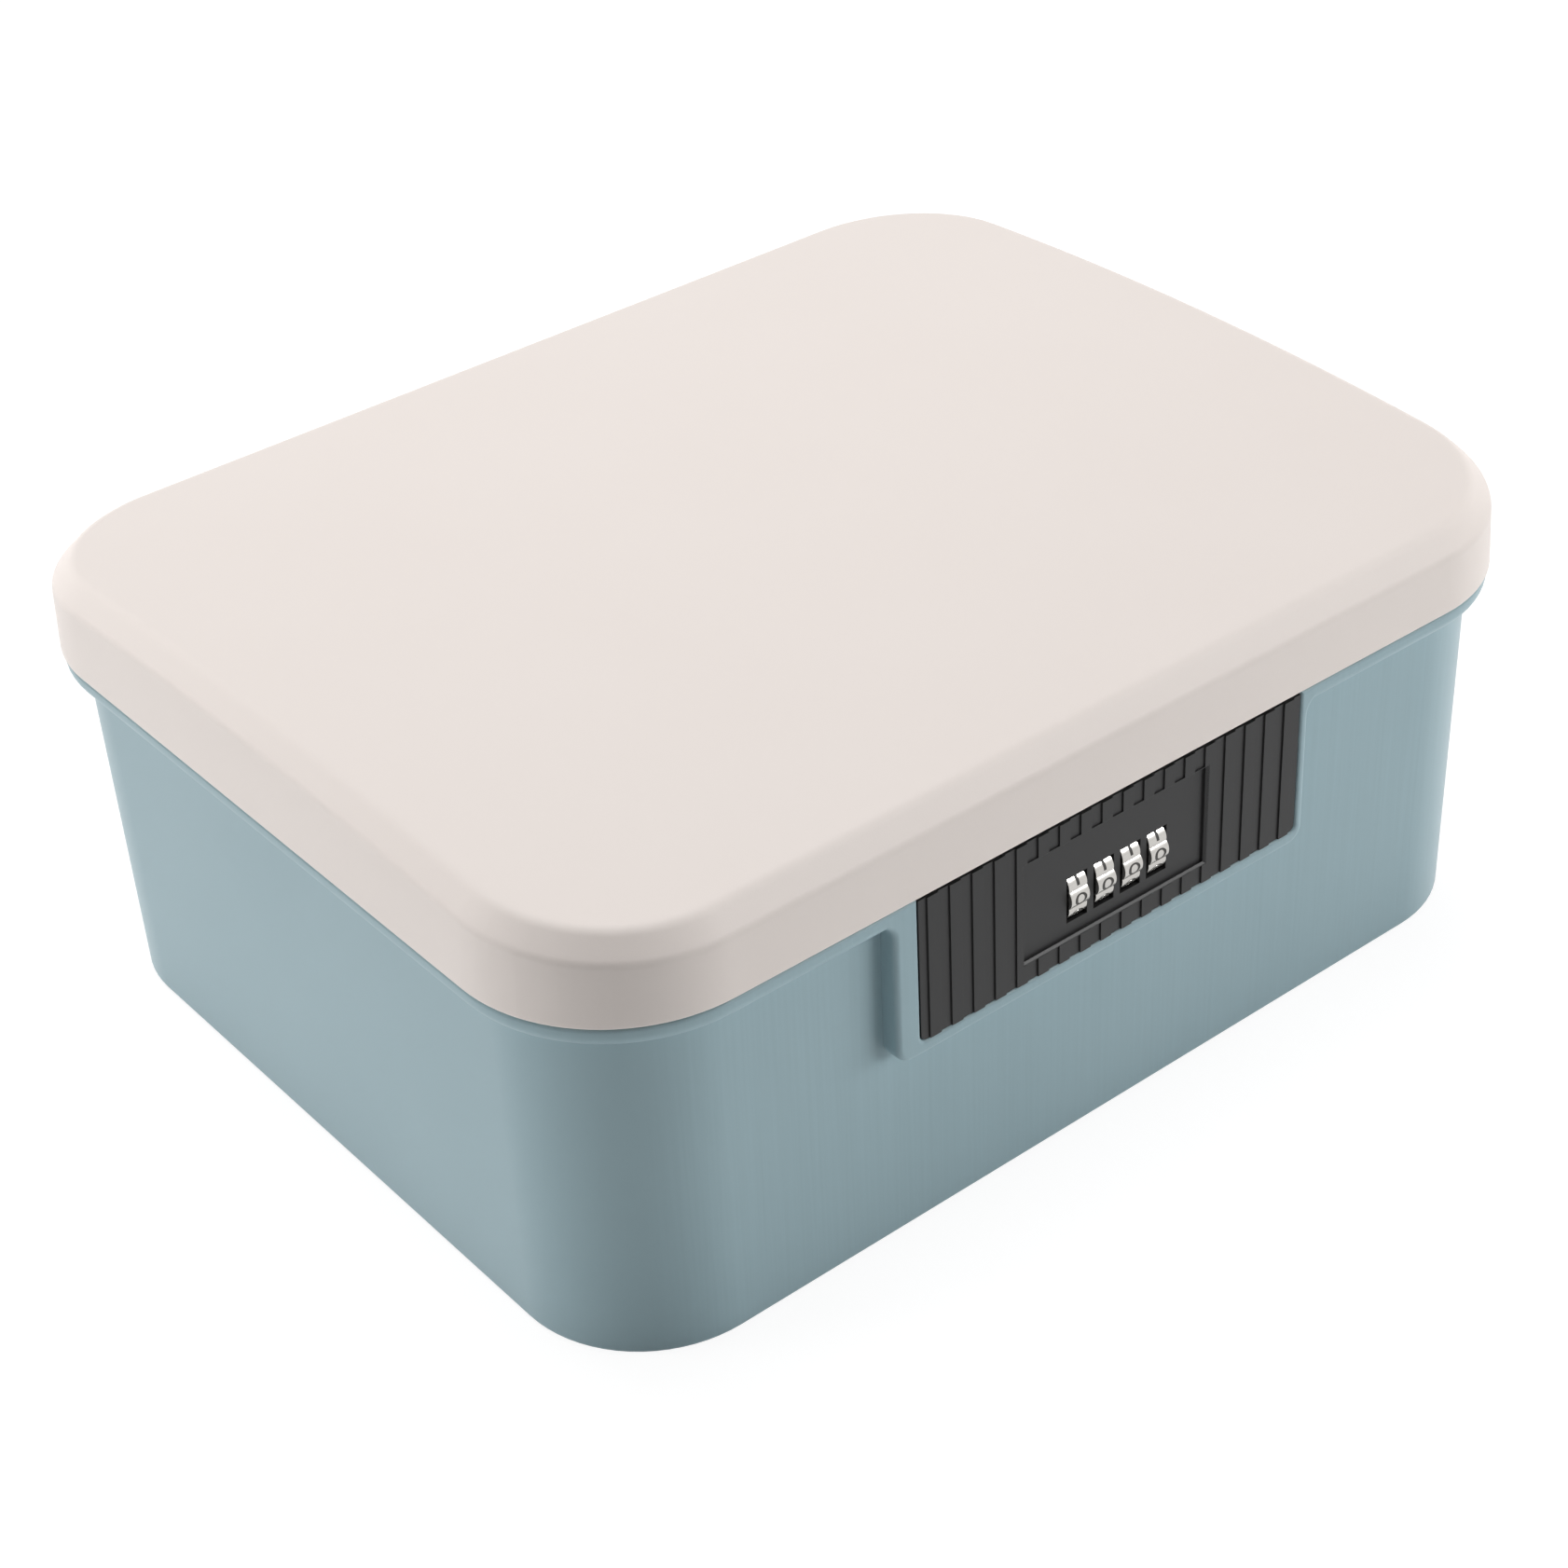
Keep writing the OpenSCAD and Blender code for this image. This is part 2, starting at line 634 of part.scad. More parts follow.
module lid_catch() {
    plate_half = comb_screw_x + comb_edge;
    plate_z = comb_top - comb_plate_t;
    gusset_x = block_half - gusset_t;
    color(steel) difference() {
        union() {
            for (i = [0 : wheel_count - 1])
                across(blade_x(i) - blade_t/2, blade_x(i) + blade_t/2) blade_outline();
            block([comb_mid - block_half, block_y, axis_z + block_up],
                [comb_mid + block_half, blade_back, plate_z + eps]);
            block([comb_mid - plate_half, block_y, plate_z],
                [comb_mid + plate_half, comb_screw_row + comb_edge, comb_top]);
            // Gussets behind the block
            for (s = [-1, 1])
                across(comb_mid + s*gusset_x - gusset_t/2, comb_mid + s*gusset_x + gusset_t/2)
                    polygon([[blade_back - eps, plate_z - gusset_h], [blade_back - eps, plate_z + eps],
                        [blade_back + gusset_h, plate_z + eps]]);
        }
        comb_screw_places() translate([0, 0, plate_z - cut])
            cylinder(h = comb_plate_t + 2*cut, r = screw_hole_r);
    }
}

module catch_screws() {
    color(steel) comb_screw_places()
        translate([0, 0, comb_top - comb_plate_t]) mirror([0, 0, 1]) screw();
}

// Lock

// The panel is an open-backed tray. Its ribs stop at the bead round the smooth plate.
module lock_panel() {
    groove_y = crest_y + rib_h;
    top = panel_z + panel_h;
    plate_z = panel_z + plate_up;
    rib_x = rib_edge - panel_w/2;
    color(black_plastic) difference() {
        union() {
            round_footed(panel_w/2, panel_z, top, panel_r, groove_y, seat_y);
            difference() {
                for (i = [0 : rib_count - 1])
                    block([rib_x + i*rib_pitch, crest_y, panel_z],
                        [rib_x + i*rib_pitch + rib_w, groove_y + eps, top]);
                bead_block(crest_y - cut, groove_y + cut);
            }
            bead_block(groove_y - bead_rise, groove_y + eps);
        }
        // Smooth plate
        block([-plate_w/2, crest_y - cut, plate_z], [plate_w/2, plate_y, plate_z + plate_h]);
        // Hollow behind, round the four posts
        difference() {
            block([-panel_w/2 + panel_wall, skin_y, panel_z + panel_wall],
                [panel_w/2 - panel_wall, seat_y + cut, top - panel_wall]);
            panel_posts(post_r, skin_y - cut, seat_y + 2*cut);
        }
        // Windows, hollowed at the back round the turning wheels
        for (i = [0 : wheel_count - 1]) {
            block([wheel_x(i) - window_w/2, plate_y - cut, axis_z - window_h/2],
                [wheel_x(i) + window_w/2, skin_y + cut, axis_z + window_h/2]);
            rod_x(wheel_x(i) - window_w/2, wheel_x(i) + window_w/2,
                wheel_r + window_back, axis_y, axis_z);
        }
        panel_posts(screw_hole_r, skin_y - skin_t + post_skin, seat_y + cut);
    }
    // The posts reach through the seat to the housing's ears
    color(black_plastic) difference() {
        panel_posts(post_r, seat_y - eps, seat_back_y);
        panel_posts(screw_hole_r, seat_y - cut, seat_back_y + cut);
    }
}

// The bead and all that lies inside it, from y0 back to y1
module bead_block(y0, y1) {
    plate_z = panel_z + plate_up;
    block([-plate_w/2 - bead_w, y0, plate_z - bead_w],
        [plate_w/2 + bead_w, y1, plate_z + plate_h + bead_w]);
}

module cover_screw_places() {
    inset = screw_boss_r - boss_root;
    for (sx = [-1, 1], z = [housing_bottom + inset, housing_top - inset])
        translate([dial_x + sx*(housing_half - inset), 0, z]) children();
}

module lock_housing() {
    w = housing_wall;
    color(black_plastic) difference() {
        union() {
            // Box with open front and back
            difference() {
                block([housing_left - w, seat_back_y, housing_bottom - w],
                    [housing_right + w, cover_y, housing_top + w]);
                block([housing_left, seat_back_y - cut, housing_bottom],
                    [housing_right, cover_y + cut, housing_top]);
            }
            // Ears on the seat
            for (sx = [-1, 1], sz = [-1, 1]) {
                x_in = sx > 0 ? housing_right + w - eps : housing_left - w + eps;
                x_out = sx*(post_x + ear_half);
                z_mid = axis_z + sz*post_z;
                block([min(x_in, x_out), seat_back_y, z_mid - ear_half],
                    [max(x_in, x_out), seat_back_y + ear_t, z_mid + ear_half]);
            }
            // Cheeks that carry the shaft, let into the body's opening at the front
            for (x = [cheek_left - cheek_t, cheek_right]) {
                block([x, cheek_front, housing_bottom + cheek_gap],
                    [x + cheek_t, cover_y - cover_gap, housing_top - cheek_gap]);
                block([x, seat_back_y, housing_bottom - eps],
                    [x + cheek_t, cover_y - cover_gap, housing_top + eps]);
            }
            // Screw bosses for the cover
            cover_screw_places() rod_y(seat_back_y + screw_boss_r, cover_y, screw_boss_r, 0, 0);
        }
        rod_x(cheek_left - cheek_t - cut, cheek_right + cheek_t + cut,
            shaft_r + run_fit, axis_y, axis_z);
        panel_posts(screw_hole_r, seat_back_y - cut, seat_back_y + ear_t + cut);
        cover_screw_places()
            rod_y(cover_y + cover_t - screw_len - tip_gap, cover_y + cut, cover_hole_r, 0, 0);
        // Slot in the top for the catch comb
        block([comb_mid - block_half - slot_gap, seat_back_y - cut, housing_top - cut],
            [comb_mid + block_half + slot_gap, blade_back + slot_gap, housing_top + w + cut]);
    }
}

module lock_cover() {
    w = housing_wall;
    color(black_plastic) difference() {
        block([housing_left - w, cover_y, housing_bottom - w],
            [housing_right + w, cover_y + cover_t, housing_top + w]);
        cover_screw_places() rod_y(cover_y - cut, cover_y + cover_t + cut, cover_hole_r, 0, 0);
        // Slot for the reset slider's stem
        block([slider_x - slider_gap, cover_y - cut, axis_z - stem_half - slider_gap],
            [slider_x + slider_t + reset_travel + slider_gap, cover_y + cover_t + cut,
                axis_z + stem_half + slider_gap]);
    }
}

module panel_screws() {
    color(steel) for (sx = [-1, 1], sz = [-1, 1])
        translate([sx*post_x, seat_back_y + ear_t, axis_z + sz*post_z]) rotate([-90, 0, 0]) screw();
}

module cover_screws() {
    color(steel) cover_screw_places() translate([0, cover_y + cover_t, 0]) rotate([-90, 0, 0])
        screw(r = cover_screw_r, head_r = cover_head_r, head_h = cover_head_h);
}

// A wheel is a ring with a rounded pad for each number. Ten slots in its bore let the
// sleeve's key sit at any of the ten numbers.
module number_wheel(i) {
    numbers = 10;
    step = 360/numbers;
    slot = key + 2*key_fit;
    color(nickel) across(wheel_x(i) - wheel_w/2, wheel_x(i) + wheel_w/2)
        translate([axis_y, axis_z]) difference() {
            for (k = [0 : numbers - 1])
                rotate(step*k) translate([wheel_r - pad_round, 0]) circle(pad_round);
            circle(r = sleeve_r + run_fit);
            for (k = [0 : numbers - 1])
                rotate(step*k) translate([0, -slot/2]) square([sleeve_r + slot, slot]);
        }
}

// A sleeve carries the wheel, and its code disc turns in the gap beside the wheel
module code_sleeve(i) {
    x0 = wheel_x(i) - wheel_w/2;
    x1 = x0 + wheel_pitch - sleeve_gap;
    disc_x = blade_x(i) - disc_t/2;
    key_turn = 72;
    color(steel) difference() {
        union() {
            rod_x(x0, x1, sleeve_r, axis_y, axis_z);
            across(x0, x0 + wheel_w) translate([axis_y, axis_z])
                rotate(key_turn) translate([0, -key/2]) square([sleeve_r + key, key]);
            intersection() {
                rod_x(disc_x, disc_x + disc_t, disc_r, axis_y, axis_z);
                block([disc_x - cut, axis_y - disc_r - cut, axis_z - disc_r - cut],
                    [disc_x + disc_t + cut, axis_y + disc_flat, axis_z + disc_r + cut]);
            }
        }
        rod_x(x0 - cut, x1 + cut, shaft_r + run_fit, axis_y, axis_z);
    }
}

module lock_shaft() {
    color(steel) difference() {
        rod_x(shaft_left, shaft_right, shaft_r, axis_y, axis_z);
        difference() {
            rod_x(clip_x, clip_x + clip_t, shaft_r + cut, axis_y, axis_z);
            rod_x(clip_x - cut, clip_x + clip_t + cut, groove_r, axis_y, axis_z);
        }
    }
}

// Retaining clip in the shaft's groove, open to one side
module shaft_clip() {
    color(steel) difference() {
        rod_x(clip_x + clip_fit, clip_x + clip_t - clip_fit, clip_r, axis_y, axis_z);
        rod_x(clip_x - cut, clip_x + clip_t + cut, groove_r + clip_fit, axis_y, axis_z);
        block([clip_x - cut, axis_y - clip_mouth/2, axis_z - clip_r - cut],
            [clip_x + clip_t + cut, axis_y + clip_mouth/2, axis_z]);
    }
}

// Coil round the shaft that presses the sleeves together
module sleeve_spring() {
    x0 = cheek_left + wire_d/2 + coil_gap;
    x1 = pack_left - wire_d/2 - coil_gap;
    coil_r = shaft_r + wire_d/2 + 2*coil_gap;
    turn_rings = 12;
    sides = 6;
    rings = spring_turns*turn_rings;
    points = [for (k = [0 : rings], s = [0 : sides - 1]) let (
        a = 360*k/turn_rings, t = 360*s/sides, r = coil_r + wire_d/2*cos(t))
        [x0 + (x1 - x0)*k/rings + wire_d/2*sin(t), axis_y + r*cos(a), axis_z + r*sin(a)]];
    tube = [for (k = [0 : rings - 1], s = [0 : sides - 1]) let (t = (s + 1) % sides)
        each [[k*sides + s, k*sides + t, (k + 1)*sides + t],
            [k*sides + s, (k + 1)*sides + t, (k + 1)*sides + s]]];
    first = [for (s = [1 : sides - 2]) [0, s + 1, s]];
    last = [for (s = [1 : sides - 2]) [rings*sides, rings*sides + s, rings*sides + s + 1]];
    color(steel) polyhedron(points, concat(tube, first, last));
}

module end_bush() {
    color(black_plastic) difference() {
        rod_x(pack_right + sleeve_gap, cheek_right - touch_gap, sleeve_r + key, axis_y, axis_z);
        rod_x(pack_right - cut, cheek_right + cut, shaft_r + run_fit, axis_y, axis_z);
    }
}

// Leaf spring on the housing's floor, with a finger under each wheel
module detent_spring() {
    z0 = housing_bottom;
    tip_z = axis_z - wheel_r - leaf_gap;
    toe_y = axis_y - leaf_toe;
    strip_y = axis_y + leaf_root;
    color(steel) {
        block([wheel_x(0) - leaf_w, strip_y - eps, z0],
            [wheel_x(wheel_count - 1) + leaf_w, strip_y + leaf_foot, z0 + leaf_t]);
        for (i = [0 : wheel_count - 1]) across(wheel_x(i) - leaf_w/2, wheel_x(i) + leaf_w/2)
            polygon([[strip_y, z0], [axis_y + leaf_tip/2, tip_z - leaf_t],
                [axis_y - leaf_tip/2, tip_z - leaf_t], [toe_y, tip_z - leaf_t - leaf_drop],
                [toe_y, tip_z - leaf_drop], [axis_y - leaf_tip/2, tip_z],
                [axis_y + leaf_tip/2, tip_z], [strip_y, z0 + leaf_t]]);
    }
}

// Slider that moves the shaft along when the owner changes the code, worked from inside the box
module reset_slider() {
    x1 = slider_x + slider_t;
    inner_y = cover_y - cover_gap;
    outer_y = cover_y + cover_t + slider_gap;
    knob_half = slider_half + knob_over;
    color(rubber_grey) {
        difference() {
            block([slider_x, axis_y - slider_half, axis_z - slider_half],
                [x1, inner_y, axis_z + slider_half]);
            rod_x(slider_x - cut, x1 + cut, shaft_r + touch_gap, axis_y, axis_z);
        }
        block([slider_x, inner_y - eps, axis_z - stem_half], [x1, outer_y + eps, axis_z + stem_half]);
        block([slider_x - knob_over, outer_y, axis_z - knob_half],
            [x1 + knob_over, outer_y + knob_t, axis_z + knob_half]);
    }
}

body_shell();
base_pads();
hinge_pin(-1);  // hinge_pin_left
hinge_pin(1);  // hinge_pin_right
lid_shell();
lid_catch();
catch_screws();
lock_panel();
lock_housing();
lock_cover();
panel_screws();
cover_screws();
number_wheel(0);  // number_wheel_1
number_wheel(1);  // number_wheel_2
number_wheel(2);  // number_wheel_3
number_wheel(3);  // number_wheel_4
code_sleeve(0);  // code_sleeve_1
code_sleeve(1);  // code_sleeve_2
code_sleeve(2);  // code_sleeve_3
code_sleeve(3);  // code_sleeve_4
lock_shaft();
shaft_clip();
sleeve_spring();
end_bush();
detent_spring();
reset_slider();
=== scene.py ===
import json
import math

import bmesh
import bpy
from mathutils import Matrix, Vector


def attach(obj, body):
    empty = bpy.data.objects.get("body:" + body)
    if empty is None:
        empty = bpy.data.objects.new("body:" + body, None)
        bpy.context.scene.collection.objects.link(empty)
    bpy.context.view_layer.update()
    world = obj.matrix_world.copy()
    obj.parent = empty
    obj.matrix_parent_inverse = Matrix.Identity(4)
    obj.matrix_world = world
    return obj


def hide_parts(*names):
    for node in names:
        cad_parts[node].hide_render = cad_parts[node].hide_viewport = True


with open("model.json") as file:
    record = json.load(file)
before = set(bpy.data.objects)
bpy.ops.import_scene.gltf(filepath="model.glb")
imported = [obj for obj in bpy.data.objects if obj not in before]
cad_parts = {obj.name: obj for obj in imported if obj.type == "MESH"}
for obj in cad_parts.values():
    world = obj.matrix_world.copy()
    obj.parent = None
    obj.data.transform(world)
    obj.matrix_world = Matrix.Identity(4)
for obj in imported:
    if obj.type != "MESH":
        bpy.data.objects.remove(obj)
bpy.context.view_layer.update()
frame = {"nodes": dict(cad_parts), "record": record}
bpy.ops.object.select_all(action="DESELECT")

# Camera
# It stands in front of the box, to its left and above it. The angles, the distance and
# the lens were worked out from the box's own straight edges in the 1682 pixel frame.
photo_side = 1682
azimuth = math.radians(-38.94)
elevation = math.radians(35.18)
roll = math.radians(-2.2)
distance = 0.8551
target = Vector((0.02446, 0, 0.02217))
focal_px = 3441.5
centre_px = (86.1, 15.5)
sensor = 36

back = Vector((
    math.sin(azimuth) * math.cos(elevation),
    -math.cos(azimuth) * math.cos(elevation),
    math.sin(elevation)))
level = Vector((math.cos(azimuth), math.sin(azimuth), 0))
upright = back.cross(level)
right = level * math.cos(roll) + upright * math.sin(roll)
up = upright * math.cos(roll) - level * math.sin(roll)
turn = Matrix((right, up, back)).transposed()
bpy.ops.object.camera_add(location=target + back * distance, rotation=turn.to_euler())
camera = bpy.context.object
camera.data.sensor_width = sensor
camera.data.lens = focal_px / photo_side * sensor
camera.data.shift_x = -centre_px[0] / photo_side
camera.data.shift_y = centre_px[1] / photo_side
camera.data.clip_start = 0.02
camera.data.clip_end = 30
bpy.context.scene.camera = camera
bpy.context.scene.view_settings.view_transform = "Standard"

# Floor and light
# A white floor that fades into a white surround, a wide lamp above, one behind the left
# side and one in front of the right side. The front left corner faces none of them. The
# two low lamps leave no highlight, and a small one does only that, along upper edges.
floor_side = 12
floor_grey = (0.97, 0.97, 0.97, 1)
glow_near, glow_far = 0.5, 2.5
glow_low = 0.91


def material(name):
    """A new material, with its node tree and its surface shader."""
    made = bpy.data.materials.new(name)
    made.use_nodes = True
    return made, made.node_tree, made.node_tree.nodes["Principled BSDF"]


def add_node(tree, kind, **values):
    """Adds a shader node and sets its properties, or its inputs by their names."""
    node = tree.nodes.new(kind)
    for key, value in values.items():
        socket = key.replace("_", " ").title()
        if socket in node.inputs:
            node.inputs[socket].default_value = value
        else:
            setattr(node, key, value)
    return node


def join_sockets(tree, *pairs):
    """Links sockets, given in pairs of from and to."""
    for source, goal in zip(pairs[::2], pairs[1::2]):
        tree.links.new(source, goal)


def seen_rays(tree):
    """A socket that is 1 for what the camera sees, directly or as a reflection."""
    rays = add_node(tree, "ShaderNodeLightPath")
    seen = add_node(tree, "ShaderNodeMath", operation="MAXIMUM")
    join_sockets(
        tree,
        rays.outputs["Is Camera Ray"], seen.inputs[0],
        rays.outputs["Is Glossy Ray"], seen.inputs[1])
    return seen.outputs[0]


bpy.ops.mesh.primitive_plane_add(size=floor_side, location=(0, 0, 0))
floor = bpy.context.object
floor.name = "floor"
floor_finish, tree, shader = material("white_floor")
shader.inputs["Base Color"].default_value = floor_grey
shader.inputs["Roughness"].default_value = 0.9
place = add_node(tree, "ShaderNodeTexCoord")
away = add_node(tree, "ShaderNodeVectorMath", operation="LENGTH")
fade = add_node(
    tree, "ShaderNodeMapRange", from_min=glow_near, from_max=glow_far, to_min=glow_low, to_max=1)
glow = add_node(tree, "ShaderNodeEmission")
soft = add_node(tree, "ShaderNodeBsdfDiffuse", color=(0.2, 0.2, 0.2, 1))
both = add_node(tree, "ShaderNodeAddShader")
pick = add_node(tree, "ShaderNodeMixShader")
join_sockets(
    tree,
    place.outputs["Object"], away.inputs[0],
    away.outputs["Value"], fade.inputs["Value"],
    fade.outputs[0], glow.inputs["Strength"],
    glow.outputs[0], both.inputs[0],
    soft.outputs[0], both.inputs[1],
    seen_rays(tree), pick.inputs[0],
    shader.outputs[0], pick.inputs[1],
    both.outputs[0], pick.inputs[2],
    pick.outputs[0], tree.nodes["Material Output"].inputs["Surface"])
floor.data.materials.append(floor_finish)

world = bpy.data.worlds.new("surround")
bpy.context.scene.world = world
world.use_nodes = True
tree = world.node_tree
white = add_node(tree, "ShaderNodeBackground", color=(1, 1, 1, 1), strength=1)
fill = tree.nodes["Background"]
fill.inputs["Color"].default_value = (1, 1, 1, 1)
fill.inputs["Strength"].default_value = 0.01
pick = add_node(tree, "ShaderNodeMixShader")
join_sockets(
    tree,
    seen_rays(tree), pick.inputs[0],
    fill.outputs[0], pick.inputs[1],
    white.outputs[0], pick.inputs[2],
    pick.outputs[0], tree.nodes["World Output"].inputs["Surface"])


def soft_lamp(name, place, aim, width, height, watts):
    """A rectangular lamp that shines from a place towards a point."""
    way = Vector(aim) - Vector(place)
    bpy.ops.object.light_add(
        type="AREA", location=place, rotation=way.to_track_quat("-Z", "Y").to_euler())
    lamp = bpy.context.object
    lamp.name = name
    lamp.data.shape = "RECTANGLE"
    lamp.data.size = width
    lamp.data.size_y = height
    lamp.data.energy = watts
    return lamp


soft_lamp(
    "lamp_above", place=(0.1, 0.4, 1.6), aim=(0, 0, 0.1), width=1.3, height=1.3, watts=25)
lamp_left = soft_lamp(
    "lamp_left", place=(-1.6, 0.9, 0.35), aim=(0, 0, 0.06), width=0.8, height=0.8, watts=16.5)
lamp_right = soft_lamp(
    "lamp_right", place=(1.3, -1.25, 0.3), aim=(0, 0, 0.06), width=1.6, height=0.8, watts=22.5)
lamp_left.visible_glossy = False
lamp_right.visible_glossy = False
lamp_edges = soft_lamp(
    "lamp_edges", place=(0.78, -0.98, 1.04), aim=(0, -0.12, 0.08),
    width=0.4, height=0.4, watts=11)
lamp_edges.visible_diffuse = False

# Body
# One blue-grey injection moulding: floor, tapered walls, a downturned rim flange and a
# rim that stands up inside the lid. The front has a boss with a recess for the lock
# panel, and the back carries four hinge knuckles.
MM = 0.001
NEAR = 0.01 * MM
corner_x = 110 * MM
corner_y = 81 * MM
base_z = 0.5 * MM
floor_z = 3 * MM
wall_top_r = 35.4 * MM
wall_foot_r = 34.4 * MM
wall = 2.5 * MM
floor_in_r = 26 * MM
foot_in_r = 28 * MM
flange_r = 40.2 * MM
flange_z = 98.5 * MM
ledge = 2 * MM
lip_z = 93.57 * MM
lip = 2 * MM
lip_round = 3 * MM
rim_z = 103.3 * MM
front_y = -corner_y - flange_r
boss_left = -66.5 * MM
boss_right = 62.5 * MM
boss_z = 55 * MM
boss_round = 4.5 * MM
boss_edge = 1.5 * MM
boss_fillet = 4.2 * MM
boss_top = lip_z + 1.6 * MM
boss_end = 5 * MM
seat_y = -117 * MM
seat_back_y = -113.4 * MM
recess_half = 59.8 * MM
recess_z = 58.7 * MM
recess_round = 1.8 * MM
recess_edge = 0.9 * MM
recess_top = rim_z + 2 * MM
opening_left, opening_right = -30.4 * MM, 32.6 * MM
opening_low, opening_high = 64.15 * MM, 87.55 * MM
hinge_x = 85 * MM
hinge_y = 125.6 * MM
hinge_z = 94.3 * MM
knuckle_r = 4 * MM
knuckle = 8 * MM
lid_knuckle = 16 * MM
knuckle_gap = 0.3 * MM
hinge_edge = 0.35 * MM
bore_r = 2.06 * MM
bore_half = 20 * MM
pocket_r = 8.2 * MM
pocket_depth = 0.8 * MM
pad_x, pad_y = 106 * MM, 77 * MM
pad_places = [(sx * pad_x, sy * pad_y) for sx, sy in ((-1, -1), (-1, 1), (0, 0), (1, -1), (1, 1))]


def rounded(corners, steps=5):
    """Points along a line through corners (a, b, radius), each rounded by its radius."""
    points = []
    for i, (a, b, radius) in enumerate(corners):
        here = Vector((a, b))
        if radius == 0:
            points.append(here)
            continue
        before = (Vector(corners[i - 1][:2]) - here).normalized()
        after = (Vector(corners[(i + 1) % len(corners)][:2]) - here).normalized()
        half = before.angle(after) / 2
        centre = here + (before + after).normalized() * radius / math.sin(half)
        first = here + before * radius / math.tan(half) - centre
        last = here + after * radius / math.tan(half) - centre
        sweep = first.angle(last)
        for k in range(steps + 1):
            t = k / steps
            points.append(centre + (
                first * math.sin((1 - t) * sweep) + last * math.sin(t * sweep)) / math.sin(sweep))
    return points


def pull(way):
    """In edit mode, extrudes what is selected along a way."""
    bpy.ops.mesh.extrude_region_move(TRANSFORM_OT_translate={"value": way})


def draw_line(name, points):
    """Starts a mesh as one vertex and extrudes it from point to point. Stays in edit mode."""
    bpy.ops.object.select_all(action="DESELECT")
    bpy.ops.mesh.primitive_plane_add(size=MM, location=points[0])
    piece = bpy.context.object
    piece.name = name
    piece.data.name = name
    bpy.ops.object.mode_set(mode="EDIT")
    bpy.ops.mesh.select_mode(type="VERT")
    bpy.ops.mesh.select_all(action="SELECT")
    bpy.ops.mesh.merge(type="CENTER")
    for here, there in zip(points, points[1:]):
        pull(there - here)
    return piece


def close_mesh():
    """In edit mode, merges doubles, fills open ends and turns all faces outwards."""
    bpy.ops.mesh.select_all(action="SELECT")
    bpy.ops.mesh.remove_doubles(threshold=0.005 * MM)
    bpy.ops.mesh.fill_holes(sides=0)
    bpy.ops.mesh.select_all(action="SELECT")
    bpy.ops.mesh.normals_make_consistent(inside=False)


def choose(piece):
    """Makes a piece the active one and the only one that is selected."""
    bpy.ops.object.select_all(action="DESELECT")
    piece.select_set(True)
    bpy.context.view_layer.objects.active = piece


def settle(piece):
    """Leaves edit mode and puts the piece's place into its mesh."""
    bpy.ops.object.mode_set(mode="OBJECT")
    choose(piece)
    bpy.ops.object.transform_apply(location=True, rotation=True, scale=True)
    return piece


def round_the_plan(name, section, turns=18):
    """Sweeps a section of points (radius from a corner centre, height) round the box."""
    start = [Vector((-corner_x, -corner_y - r, z)) for r, z in section]
    piece = draw_line(name, start)
    bpy.ops.mesh.select_all(action="SELECT")
    sides = [
        ((2 * corner_x, 0, 0), (corner_x, -corner_y, 0)),
        ((0, 2 * corner_y, 0), (corner_x, corner_y, 0)),
        ((-2 * corner_x, 0, 0), (-corner_x, corner_y, 0)),
        ((0, -2 * corner_y, 0), (-corner_x, -corner_y, 0))]
    for way, centre in sides:
        pull(way)
        bpy.ops.mesh.spin(steps=turns, angle=-math.pi / 2, center=centre, axis=(0, 0, 1))
    close_mesh()
    return piece


def prism(name, outline, way):
    """A flat outline of points, filled and extruded along a way."""
    piece = draw_line(name, outline)
    bpy.ops.mesh.select_all(action="SELECT")
    bpy.ops.mesh.edge_face_add()
    pull(way)
    close_mesh()
    return piece


def block(name, low, high):
    """A block between two corners."""
    low, high = Vector(low), Vector(high)
    bpy.ops.object.select_all(action="DESELECT")
    bpy.ops.mesh.primitive_cube_add(size=1, location=(low + high) / 2, scale=high - low)
    piece = bpy.context.object
    piece.name = name
    return settle(piece)


def rod(name, start, end, radius, sides=48):
    """A round bar between two points."""
    start, end = Vector(start), Vector(end)
    way = end - start
    bpy.ops.object.select_all(action="DESELECT")
    bpy.ops.mesh.primitive_cylinder_add(
        vertices=sides, radius=radius, depth=way.length, location=(start + end) / 2,
        rotation=way.to_track_quat("Z", "Y").to_euler())
    piece = bpy.context.object
    piece.name = name
    return settle(piece)


def combine(piece, other, how="DIFFERENCE"):
    """Cuts a piece by another solid, or joins the two. The other one is used up."""
    step = piece.modifiers.new("combine", "BOOLEAN")
    step.object = other
    step.operation = how
    step.solver = "EXACT"
    choose(piece)
    bpy.ops.object.modifier_apply(modifier=step.name)
    bpy.data.objects.remove(other)


def pick_edges(piece, wanted):
    """In edit mode, selects the edges whose ends both pass a test."""
    bpy.ops.mesh.select_all(action="DESELECT")
    bpy.ops.mesh.select_mode(type="EDGE")
    mesh = bmesh.from_edit_mesh(piece.data)
    for edge in mesh.edges:
        edge.select_set(all(wanted(v.co) for v in edge.verts))
    bmesh.update_edit_mesh(piece.data)


def edit(piece):
    """Opens a piece in edit mode."""
    choose(piece)
    bpy.ops.object.mode_set(mode="EDIT")


def tidy_faces(piece, angle=0.5):
    """Merges doubles and joins flat neighbours into one face each."""
    edit(piece)
    bpy.ops.mesh.select_all(action="SELECT")
    bpy.ops.mesh.remove_doubles(threshold=0.002 * MM)
    bpy.ops.mesh.dissolve_limited(angle_limit=math.radians(angle))
    bpy.ops.object.mode_set(mode="OBJECT")


